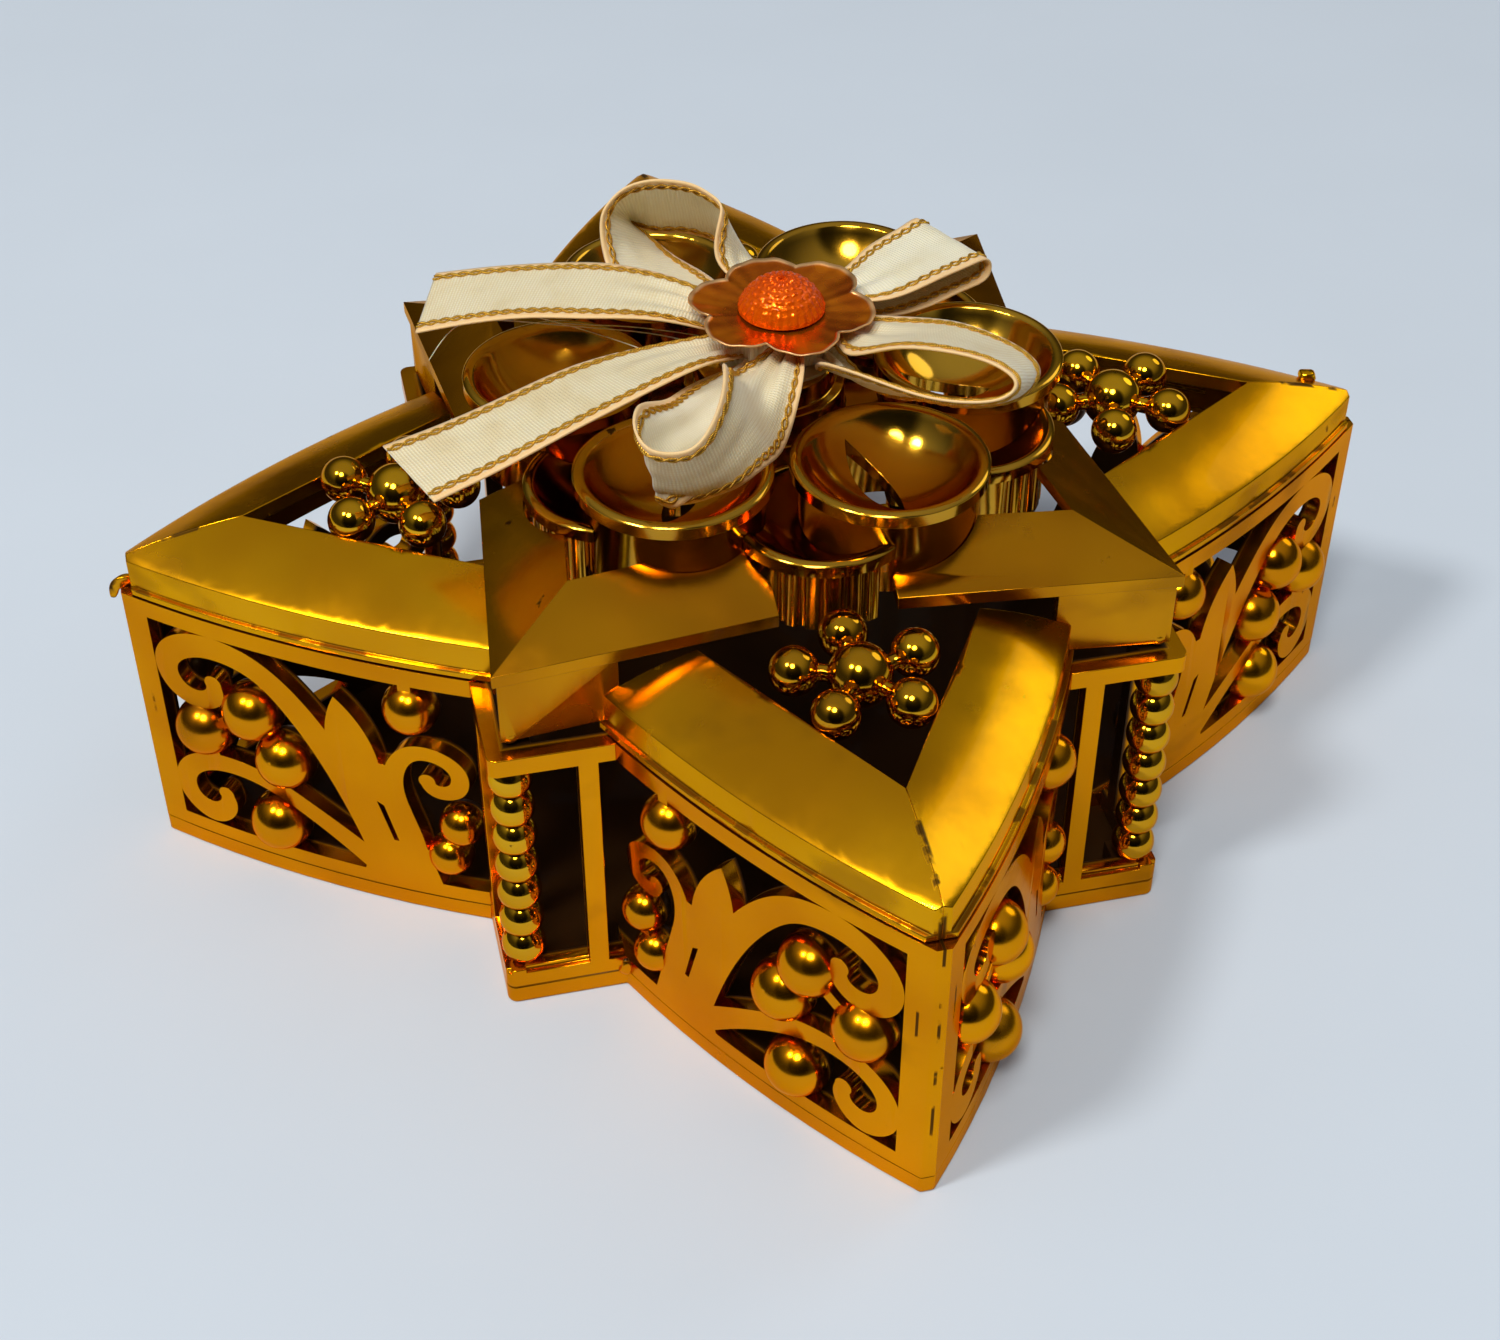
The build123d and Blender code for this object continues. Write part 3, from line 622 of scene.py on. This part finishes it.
def tube(path, radius, sides):
    # a round profile along a path
    angle = turns(sides)[None]
    return carried(path, radius * np.cos(angle), radius * np.sin(angle), (0.31, 0.27, 0.91))


def ramp(value, low, high):
    # 0 up to low, 1 from high on, even between
    return np.clip((value - low) / (high - low), 0, 1)


def roundPoints(middle, radius, turn, height):
    # points at a radius, a turn and a height about an upright axis
    x = middle[0] + radius * np.cos(turn)
    y = middle[1] + radius * np.sin(turn)
    return np.stack(np.broadcast_arrays(x, y, height), -1)


def mapOf(first, second):
    # a map from two measures, one of them by rows and the other by columns
    return np.stack(np.broadcast_arrays(first, second), -1)


def merged(name, pieces):
    # several surfaces as one mesh
    shape = bmesh.new()
    for piece in pieces:
        shape.from_mesh(piece.data)
    whole = pieces[0]
    shape.to_mesh(whole.data)
    shape.free()
    for piece in pieces[1:]:
        bpy.data.objects.remove(piece)
    whole.name = whole.data.name = name
    return whole


# ribbon sizes in mm; stitchRise and stitchWeave are shares of the stitch's radius
ribbonSettings = {
    "padTop": 46.1,
    "width": clothSettings["width"],
    "thickness": 0.2,
    "rowStep": 0.3,
    "columns": 28,
    "pleats": 3,
    "pleatHeight": 0.24,
    "pleatStart": 0.6,
    "leastGap": 0.25,
    "rootShare": 0.3,
    "trialSteps": 400,
    "stitchIn": 1.0,
    "stitchPitch": 1.25,
    "stitchSwing": 0.3,
    "stitchRadius": 0.13,
    "stitchStep": 0.14,
    "stitchRise": 0.5,
    "stitchWeave": 0.35,
    "stitchSides": 5,
}
# both edges of each ribbon in mm: x and y from the star's middle, height above the pad of glue
ribbonPaths = {
    "bow_loop_back_left": {"inside": -1, "roots": 2, "edges": [
        ((0.0, 5.8, 3.1), (3.5, 5.4, 3.1)), ((-2.3, 9.2, 4.5), (4.2, 10.3, 1.3)),
        ((-1.8, 10.9, 7.3), (3.4, 14.1, -0.4)), ((-1.3, 12.3, 8.5), (2.0, 16.5, 0.0)),
        ((-2.0, 13.8, 8.9), (0.7, 18.4, 0.5)), ((-3.3, 15.1, 9.3), (-1.1, 19.9, 0.8)),
        ((-5.0, 16.1, 9.4), (-3.2, 21.0, 1.0)), ((-6.9, 16.6, 9.4), (-5.3, 21.7, 0.9)),
        ((-8.7, 16.7, 9.1), (-6.9, 22.5, 1.2)), ((-10.0, 16.5, 8.6), (-7.7, 23.0, 1.4)),
        ((-11.1, 16.1, 7.8), (-7.4, 22.5, 1.1)), ((-12.0, 15.4, 6.4), (-6.0, 21.0, 0.5)),
        ((-12.1, 13.4, 3.7), (-4.3, 18.2, -0.1)), ((-10.3, 8.8, 1.8), (-2.0, 13.9, -0.1)),
        ((-3.4, 3.6, 1.1), (-0.6, 5.6, 1.1))]},
    "bow_loop_back_right": {"inside": -1, "roots": 2, "edges": [
        ((6.6, 2.2, 3.1), (4.4, 4.9, 3.1)), ((11.6, 0.3, 3.7), (9.3, 8.1, 2.5)),
        ((16.6, 1.9, 4.1), (12.4, 10.7, 3.0)), ((20.4, 4.0, 3.9), (15.9, 12.7, 3.4)),
        ((22.7, 5.3, 3.4), (18.4, 14.3, 3.4)), ((22.6, 5.2, 1.6), (18.6, 14.3, 1.8)),
        ((19.4, 3.9, 1.2), (15.8, 13.2, 1.1)), ((14.0, 1.9, 1.0), (10.2, 11.0, 0.8)),
        ((6.6, 2.2, 1.1), (4.4, 4.9, 1.1))]},
    "bow_loop_front_right": {"inside": 1, "roots": 2, "edges": [
        ((5.6, -3.5, 3.1), (6.9, -0.2, 3.1)), ((5.5, -8.6, 4.2), (12.3, -3.6, 4.0)),
        ((7.8, -12.6, 6.9), (15.7, -6.9, 5.0)), ((10.6, -15.9, 8.5), (18.2, -10.1, 5.3)),
        ((13.2, -18.6, 9.1), (20.1, -12.6, 5.0)), ((15.1, -20.6, 9.0), (21.0, -14.3, 4.2)),
        ((16.1, -22.0, 8.2), (20.6, -15.0, 3.2)), ((15.0, -22.3, 7.1), (19.3, -15.1, 2.0)),
        ((12.5, -21.3, 6.4), (17.1, -14.5, 1.1)), ((9.1, -19.1, 6.1), (14.3, -13.1, 0.5)),
        ((5.4, -15.4, 6.1), (11.6, -11.0, 0.1)), ((2.9, -9.9, 4.5), (8.8, -8.4, -0.4)),
        ((3.5, -5.0, 0.9), (6.1, -2.7, 0.9))]},
    "bow_loop_front_left": {"inside": 1, "roots": 2, "edges": [
        ((-1.3, -5.0, 3.1), (2.2, -5.4, 3.1)), ((-5.0, -7.3, 2.8), (1.0, -10.1, 2.9)),
        ((-6.6, -12.6, 7.5), (-1.4, -13.9, -0.5)), ((-7.5, -16.8, 8.5), (-4.0, -17.3, -0.2)),
        ((-9.0, -20.5, 7.9), (-6.4, -18.4, -1.0)), ((-11.1, -22.5, 6.5), (-8.6, -18.3, -1.8)),
        ((-13.3, -22.3, 6.0), (-11.3, -18.1, -2.4)), ((-14.9, -21.4, 6.2), (-13.3, -17.4, -2.4)),
        ((-15.5, -19.1, 6.7), (-12.7, -18.2, -2.4)), ((-14.7, -16.2, 6.7), (-11.7, -19.1, -1.7)),
        ((-13.1, -13.3, 5.1), (-9.2, -18.1, -0.7)), ((-11.0, -10.1, 3.0), (-5.8, -15.3, -0.2)),
        ((-8.4, -6.6, 1.7), (-2.2, -11.0, 0.6)), ((-3.5, -3.0, 0.8), (-0.8, -5.2, 0.8))]},
    "ribbon_tail_back": {"inside": -1, "roots": 1, "edges": [
        ((-4.6, 1.2, 2.1), (-2.9, 3.6, 3.7)), ((-10.1, 1.3, 4.0), (-6.7, 8.1, 3.9)),
        ((-15.8, 2.7, 4.1), (-11.4, 11.7, 3.8)), ((-20.5, 4.9, 3.5), (-16.3, 14.0, 3.3)),
        ((-25.5, 7.1, 2.3), (-21.8, 16.4, 2.3)), ((-30.5, 9.0, 0.8), (-27.4, 18.5, 1.1))]},
    "ribbon_tail_front": {"inside": -1, "roots": 1, "edges": [
        ((-3.3, -3.3, 1.9), (-4.5, 0.0, 2.2)), ((-7.7, -7.7, 4.2), (-10.9, -0.2, 2.1)),
        ((-13.9, -10.9, 4.0), (-17.2, -1.6, 2.1)), ((-19.7, -13.0, 3.0), (-22.8, -3.6, 1.6)),
        ((-26.0, -15.2, 1.7), (-29.1, -5.8, 0.8)), ((-32.2, -17.3, 0.7), (-35.4, -7.9, 0.4))]},
}


def ribbonSurface(path):
    # function of way along and share across: near edge plus share times the gap to the other edge,
    # lifted along the normal by pleats that deepen as the edges draw together at the knot
    sizes = ribbonSettings
    edges = np.array(path["edges"], float)
    edges[..., 2] += sizes["padTop"]
    root = sizes["rootShare"]
    trial = np.linspace(-root, len(edges) - 1 + root * (path["roots"] == 2), sizes["trialSteps"])
    middle = (smoothLine(edges[:, 0], trial) + smoothLine(edges[:, 1], trial)) / 2
    travelled = np.concatenate([[0], np.cumsum(np.linalg.norm(np.diff(middle, axis=0), axis=1))])
    distance = np.linspace(0, travelled[-1], int(travelled[-1] / sizes["rowStep"]))
    along = np.interp(distance, travelled, trial)
    near = smoothLine(edges[:, 0], along)
    gap = smoothLine(edges[:, 1], along) - near
    share = np.linspace(0, 1, sizes["columns"])
    points = near[:, None] + gap[:, None] * share[None, :, None]
    normal = unit(np.cross(np.gradient(points, axis=0), gap[:, None]))
    drawn = np.clip(np.linalg.norm(gap, axis=1) / sizes["width"], sizes["leastGap"], 1.0)
    depth = sizes["pleatHeight"] * np.sqrt(1 / drawn**2 - 1)
    waves = np.sin(2 * np.pi * sizes["pleats"] * share + sizes["pleatStart"]) * np.sin(np.pi * share) ** 0.5
    points = points + normal * (depth[:, None] * waves[None])[..., None]
    normal = unit(np.cross(np.gradient(points, axis=0), np.gradient(points, axis=1))) * path["inside"]
    return points, normal, distance, share


def ribbonPiece(name, path):
    # satin with its own colour on each face, and its stitching; inside says which face looks into the loop
    sizes = ribbonSettings
    points, normal, distance, share = ribbonSurface(path)
    uvs = mapOf(distance[:, None], share[None] * sizes["width"])
    order = path["inside"]
    cloth = surface(name + "_satin", points[:, ::order] * mm, uvs[:, ::order], [ribbonOuter, ribbonInner])
    solid = cloth.modifiers.new("clothThickness", "SOLIDIFY")
    solid.thickness = sizes["thickness"] * mm
    solid.offset = 0.0
    solid.material_offset = 1
    solid.material_offset_rim = 0
    quads = np.cross(points[1:, 1:] - points[:-1, :-1], points[1:, :-1] - points[:-1, 1:])
    area = np.linalg.norm(quads, axis=-1).sum() / 2 * mm**2
    flat = (sizes["width"] * mm, float(max(distance[-1] * mm, area / sizes["width"] / mm)))
    stitches = ribbonStitches(name, points, normal, distance)
    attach(cloth, "lid")
    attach(stitches, "lid")
    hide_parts(name)
    print(name, "flat length", round(flat[1] * 1000, 1), "mm, area", round(area * 1e6), "mm2")


def ribbonStitches(name, points, normal, distance):
    # chain stitch: two threads that swing to either side of a line and cross at each stitch, on both faces
    sizes = ribbonSettings
    sides = sizes["stitchSides"]
    radius = sizes["stitchRadius"]
    way = np.linspace(0, distance[-1], int(distance[-1] / sizes["stitchStep"]))
    rowAt = np.interp(way, distance, np.arange(len(distance)))
    phase = np.pi * way / sizes["stitchPitch"]
    uvs = mapOf(way[:, None], (np.arange(sides) / sides)[None])
    threads = []
    for edgeIn in (sizes["stitchIn"], sizes["width"] - sizes["stitchIn"]):
        for side in (-1, 1):
            for sway in (-1, 1):
                swing = sway * sizes["stitchSwing"] * np.sin(phase)
                across = (edgeIn + swing) / sizes["width"] * (points.shape[1] - 1)
                rise = radius * (sizes["stitchRise"] + sway * sizes["stitchWeave"] * np.cos(phase))
                over = side * (sizes["thickness"] / 2 + rise)
                centre = gridPoint(points, rowAt, across)
                outward = unit(gridPoint(normal, rowAt, across))
                rings = tube(centre + outward * over[:, None], radius, sides)
                threads.append(surface(name + "_thread", rings * mm, uvs, [goldThread], closedColumns=True))
    return merged(name + "_stitching", threads)


def gridPoint(values, rows, columns):
    # values between the grid's points, by shares of the four nearest
    row = np.clip(np.floor(rows).astype(int), 0, values.shape[0] - 2)
    column = np.clip(np.floor(columns).astype(int), 0, values.shape[1] - 2)
    down = (rows - row)[:, None]
    over = (columns - column)[:, None]
    low = values[row, column] * (1 - over) + values[row, column + 1] * over
    high = values[row + 1, column] * (1 - over) + values[row + 1, column + 1] * over
    return low * (1 - down) + high * down


for name, path in ribbonPaths.items():
    ribbonPiece(name, path)
print("ribbons made")


# knot, foil and dome in mm; shares run from the middle or top of a piece to its rim
knotSettings = {
    "middle": (1.2, 0.2),
    "top": 50.0,
    "tall": 3.8,
    "radius": 4.25,
    "bulge": 0.5,
    "folds": 13,
    "foldDepth": 0.32,
    "foldSway": 1.3,
    "foldLean": 0.9,
    "endShare": 0.2,
    "endSink": 0.12,
    "clothTurn": 5,
    "clothWay": (2, 6),
    "columns": 156,
    "rows": 40,
}


def knotPiece():
    # function of turn and way down the side: a barrel whose radius swells at half height,
    # creased by upright folds that lean a little and fade towards the middle of each end
    sizes = knotSettings
    turn = turns(sizes["columns"])[None]
    way = np.linspace(0, 1, sizes["rows"])[:, None]
    inward = ramp(np.minimum(way, 1 - way), 0, sizes["endShare"])
    height = ramp(way, sizes["endShare"], 1 - sizes["endShare"])
    barrel = sizes["radius"] + sizes["bulge"] * np.sin(np.pi * height)
    folds = np.sin(sizes["folds"] * turn + sizes["foldSway"] * np.sin(3 * turn) + sizes["foldLean"] * height)
    radius = barrel * np.sin(inward * np.pi / 2) + sizes["foldDepth"] * folds * inward**2
    z = sizes["top"] - sizes["tall"] * height - sizes["endSink"] * (1 - inward)
    points = roundPoints(sizes["middle"], radius, turn, z)[::-1]
    uvs = mapOf(sizes["clothTurn"] * turn, sizes["clothWay"][0] + sizes["clothWay"][1] * height)[::-1]
    knot = surface("bow_knot_gathers", points * mm, uvs, [ribbonOuter], closedColumns=True)
    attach(knot, "lid")
    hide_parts("bow_knot")


foilSettings = {
    "middle": (1.4, -0.6),
    "bottom": 50.42,
    "lobes": 6,
    "turn": math.radians(35.0),
    "lobeRing": 4.95,
    "lobeRadius": 3.5,
    "cup": 0.75,
    "cupReach": 8.9,
    "crease": 0.16,
    "ribs": 24,
    "ribHeight": 0.05,
    "rimFrom": 0.92,
    "rimHeight": 0.22,
    "warp": 0.14,
    "warpTurn": 0.7,
    "thickness": 0.16,
    "hole": 0.02,
    "columns": 288,
    "rows": 30,
}


def foilPiece():
    # function of turn and share of the way out: reach follows the far side of the nearest lobe's circle,
    # height is a shallow bowl with a crease along each lobe, ribs, a rim that turns up and a slight warp
    sizes = foilSettings
    turn = turns(sizes["columns"])[None]
    share = np.linspace(sizes["hole"], 1, sizes["rows"])[:, None]
    lobe = 2 * np.pi / sizes["lobes"]
    off = (turn - sizes["turn"] + lobe / 2) % lobe - lobe / 2
    ring = sizes["lobeRing"]
    reach = ring * np.cos(off) + np.sqrt(sizes["lobeRadius"] ** 2 - (ring * np.sin(off)) ** 2)
    radius = share * reach
    z = sizes["bottom"] + sizes["cup"] * (radius / sizes["cupReach"]) ** 2
    z = z - sizes["crease"] * np.cos(sizes["lobes"] * off) * share**2
    z = z + sizes["ribHeight"] * np.cos(sizes["ribs"] * off) * share**3
    z = z + sizes["rimHeight"] * ramp(share, sizes["rimFrom"], 1) ** 2
    z = z + sizes["warp"] * np.sin(2 * turn + sizes["warpTurn"]) * share**2
    points = roundPoints(sizes["middle"], radius, turn, z)
    uvs = mapOf(turn / (2 * np.pi), share)
    foil = surface("flower_foil_petals", points * mm, uvs, [foilCopper], closedColumns=True)
    thick = foil.modifiers.new("foilThickness", "SOLIDIFY")
    thick.thickness = sizes["thickness"] * mm
    thick.offset = 0.0
    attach(foil, "lid")
    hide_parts("flower_foil")


domeSettings = {
    "middle": foilSettings["middle"],
    "bottom": 50.95,
    "radius": 4.1,
    "height": 3.15,
    "inset": 0.2,
    "relief": 0.13,
    "rings": 26,
    "grains": 17,
    "grainSway": 2.1,
    "flutes": 30,
    "flutesFrom": (0.55, 0.9),
    "flutesTo": (0.93, 1.0),
    "tip": 0.01,
    "columns": 300,
    "rows": 90,
}


def domePiece():
    # function of turn and way from the top: a cap of a ball, roughened by grains that sit in rings
    # near the middle and by radial flutes at the foot
    sizes = domeSettings
    turn = turns(sizes["columns"])[None]
    way = np.linspace(sizes["tip"], 1, sizes["rows"])[:, None]
    ball = (sizes["radius"] ** 2 + sizes["height"] ** 2) / (2 * sizes["height"])
    lean = way * math.acos(1 - sizes["height"] / ball)
    rings = np.sin(way * sizes["rings"])
    grains = rings**2 * (0.5 + 0.5 * np.sin(sizes["grains"] * turn + sizes["grainSway"] * rings))
    flutes = 0.5 + 0.5 * np.cos(sizes["flutes"] * turn)
    foot = ramp(way, *sizes["flutesFrom"])
    relief = grains * (1 - foot) + flutes * foot * (1 - ramp(way, *sizes["flutesTo"]))
    size = ball - sizes["inset"] + sizes["relief"] * relief
    z = sizes["bottom"] + sizes["height"] - ball + size * np.cos(lean)
    points = roundPoints(sizes["middle"], size * np.sin(lean), turn, z)
    uvs = mapOf(turn / (2 * np.pi), way)
    dome = surface("flower_dome_grains", points * mm, uvs, [domeOrange], closedColumns=True)
    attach(dome, "lid")
    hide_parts("flower_dome")


knotPiece()
foilPiece()
domePiece()
print("flower made")


# what the moulding and the gluing left behind, in mm
leftoverSettings = {
    "gate_hook": {"slot": "gold_top", "finish": goldTop, "path": [
        (-58.8, 0.5, 30.0), (-59.8, 0.4, 30.0), (-60.4, 0.3, 29.6), (-60.7, 0.2, 29.0), (-60.8, 0.2, 28.4)],
        "wide": (0.6, 0.6, 0.5, 0.4, 0.22), "thick": (0.3, 0.3, 0.22, 0.2, 0.12)},
    "gate_nub": {"slot": "gold_top", "finish": goldTop, "path": [
        (55.7, 2.7, 31.6), (55.9, 2.95, 32.6), (56.0, 3.1, 33.3), (56.05, 3.15, 33.9)],
        "wide": (0.7, 0.72, 0.85, 0.7), "thick": (0.6, 0.62, 0.7, 0.55)},
    "notch_flash": {"slot": "gold_side", "finish": goldFloor, "path": [
        (-20.6, -31.6, 2.6), (-20.4, -32.0, 3.0), (-20.3, -32.1, 3.7), (-20.4, -31.9, 4.3)],
        "wide": (0.5, 0.55, 0.45, 0.25), "thick": (0.35, 0.4, 0.35, 0.2)},
}
lumpSettings = {
    "away": (0.2, 1.0, 0.1),
    "roundness": 0.6,
    "endPower": 12,
    "endOpen": 0.01,
    "uneven": 0.08,
    "unevenTurns": 3,
    "unevenWay": 2.3,
    "columns": 16,
    "rows": 30,
}
strandSettings = {
    "radius": 0.055,
    "columns": 6,
    "rows": 90,
    "paths": [
        [(-29.6, 8.4, 44.2), (-27.6, 9.0, 46.4), (-24.4, 9.3, 47.2),
         (-17.6, 7.2, 47.0), (-10.8, 4.6, 46.9), (-6.4, 2.6, 46.5)],
        [(-21.0, 12.6, 45.4), (-19.6, 9.8, 46.6), (-16.2, 6.8, 46.8), (-11.4, 3.0, 46.4), (-8.8, 1.4, 45.5)],
        [(-17.2, 10.4, 45.2), (-14.2, 7.4, 46.4), (-10.6, 5.3, 46.9), (-5.4, 3.2, 46.6)],
    ],
}


def lump(name, settings):
    # a rounded oblong profile carried along a path, half its width and half its thickness given at the
    # path's points, closed towards both ends and a little uneven
    sizes = lumpSettings
    knots = np.array(settings["path"], float)
    way = np.linspace(0, len(knots) - 1, sizes["rows"])
    wide = np.interp(way, np.arange(len(knots)), settings["wide"])
    thick = np.interp(way, np.arange(len(knots)), settings["thick"])
    fromMiddle = np.abs(2 * way / way[-1] - 1)
    closing = np.sqrt(1 - fromMiddle ** sizes["endPower"]) + sizes["endOpen"]
    angle = turns(sizes["columns"])[None]
    bumps = sizes["unevenTurns"] * angle + sizes["unevenWay"] * way[:, None]
    swell = closing[:, None] * (1 + sizes["uneven"] * np.sin(bumps))
    across = np.sign(np.cos(angle)) * np.abs(np.cos(angle)) ** sizes["roundness"] * wide[:, None] * swell
    upward = np.sign(np.sin(angle)) * np.abs(np.sin(angle)) ** sizes["roundness"] * thick[:, None] * swell
    points = carried(smoothLine(knots, way), across, upward, sizes["away"])
    uvs = mapOf(way[:, None], angle / (2 * np.pi))
    piece = surface(name, points * mm, uvs, [settings["finish"]], closedColumns=True)
    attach(piece, "base" if name == "notch_flash" else "lid")


def strandPiece():
    # hair-thin threads of glue that sag between the petals and the knot
    sizes = strandSettings
    threads = []
    for knots in sizes["paths"]:
        path = smoothLine(np.array(knots, float), np.linspace(0, len(knots) - 1, sizes["rows"]))
        uvs = mapOf(np.arange(float(sizes["rows"]))[:, None], np.arange(float(sizes["columns"]))[None])
        rings = tube(path, sizes["radius"], sizes["columns"])
        threads.append(surface("strand", rings * mm, uvs, [glueCloudy], closedColumns=True))
    strands = merged("glue_strands", threads)
    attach(strands, "lid")


for name, settings in leftoverSettings.items():
    lump(name, settings)
strandPiece()
print("leftovers made")


# floor, light and camera, in metres
stageSettings = {
    "floorSize": 8.0,
    "floorDrop": 0.00002,
    "floorColour": (0.62, 0.69, 0.765),
    "floorShade": 0.95,
    "floorClouds": (30.0, 3.0),
    "floorShader": {"Roughness": 0.8, "Specular IOR Level": 0.2},
    "skyColour": (0.86, 0.91, 1.0),
    "skyLow": 0.06,
    "skyHigh": 0.42,
    "skyFoot": 0.3,
    "skyTop": 0.95,
    "viewerFrom": (-0.19, -0.81, 0.55),
    "viewerSpread": (0.72, 0.88),
    "viewerShade": 0.92,
    "lights": {
        "window": {"from": (-0.62, -0.22, 0.98), "size": 0.2, "power": 5.2, "colour": (1.0, 0.99, 0.97)},
        "behindEye": {"from": (-0.35, -0.75, 1.45), "size": 0.5, "power": 15.0, "colour": (1.0, 0.98, 0.95)},
        "softRight": {"from": (1.05, 0.45, 0.75), "size": 0.6, "power": 1.5, "colour": (0.92, 0.96, 1.0)},
    },
}
cameraSettings = {
    "lens": 57.39,
    "sensor": 36.0,
    "near": 0.01,
    "azimuth": math.radians(-13.09),
    "elevation": math.radians(39.94),
    "distance": 0.2541,
    "aim": Vector((0.0010, 0.0101, 0.0)),
}


def makeFloor():
    # a wide pale square just under the object, with soft clouds in its colour
    room = stageSettings
    size = room["floorSize"] / 2
    mesh = bpy.data.meshes.new("pale_floor")
    around = ((-size, -size), (size, -size), (size, size), (-size, size))
    mesh.from_pydata([(x, y, -room["floorDrop"]) for x, y in around], [], [(0, 1, 2, 3)])
    floor = bpy.data.objects.new("pale_floor", mesh)
    scene.collection.objects.link(floor)
    finish = Finish("pale_floor", room["floorShader"])
    shade = tuple(room["floorShade"] * part for part in room["floorColour"])
    finish.set("Base Color", finish.mix(finish.cloud(*room["floorClouds"]), shade, room["floorColour"]))
    mesh.materials.append(finish.material)


class Sky(Finish):
    # the world's own background, fed the same way
    def __init__(self, name, colour):
        world = bpy.data.worlds.new(name)
        scene.world = world
        world.use_nodes = True
        self.tree = world.node_tree
        self.shader = self.tree.nodes["Background"]
        self.shader.inputs["Color"].default_value = (*colour, 1.0)


def makeLights():
    # a room that is dark near the floor and pale overhead, with the dark shape of the viewer in front
    room = stageSettings
    sky = Sky("soft_studio", room["skyColour"])
    direction = sky.node("ShaderNodeTexCoord", {}, {}, "Generated")
    up = sky.node("ShaderNodeSeparateXYZ", {}, {0: direction}, 2)
    glow = room["skyLow"] + up.step(room["skyFoot"], room["skyTop"]) * (room["skyHigh"] - room["skyLow"])
    toward = sky.node("ShaderNodeVectorMath", {"operation": "DOT_PRODUCT"},
                      {0: direction, 1: room["viewerFrom"]}, 1)
    sky.set("Strength", glow * (1.0 - toward.step(*room["viewerSpread"]) * room["viewerShade"]))
    for name, light in room["lights"].items():
        lamp = bpy.data.lights.new(name, "AREA")
        lamp.shape = "DISK"
        lamp.size = light["size"]
        lamp.energy = light["power"]
        lamp.color = light["colour"]
        holder = bpy.data.objects.new(name, lamp)
        holder.location = light["from"]
        holder.rotation_euler = (-Vector(light["from"])).to_track_quat("-Z", "Y").to_euler()
        scene.collection.objects.link(holder)


def makeCamera():
    # stands at a distance from the aim, turned by azimuth from the front and raised by elevation
    view = cameraSettings
    lens = bpy.data.cameras.new("view")
    lens.lens = view["lens"]
    lens.sensor_width = view["sensor"]
    lens.clip_start = view["near"]
    eye = bpy.data.objects.new("view", lens)
    level = view["distance"] * math.cos(view["elevation"])
    away = Vector((level * math.sin(view["azimuth"]), -level * math.cos(view["azimuth"]),
                   view["distance"] * math.sin(view["elevation"])))
    eye.location = view["aim"] + away
    eye.rotation_euler = (-away).to_track_quat("-Z", "Y").to_euler()
    scene.collection.objects.link(eye)
    scene.camera = eye


makeFloor()
makeLights()
makeCamera()
scene.view_settings.view_transform = "Standard"
print("floor, lights and camera set")
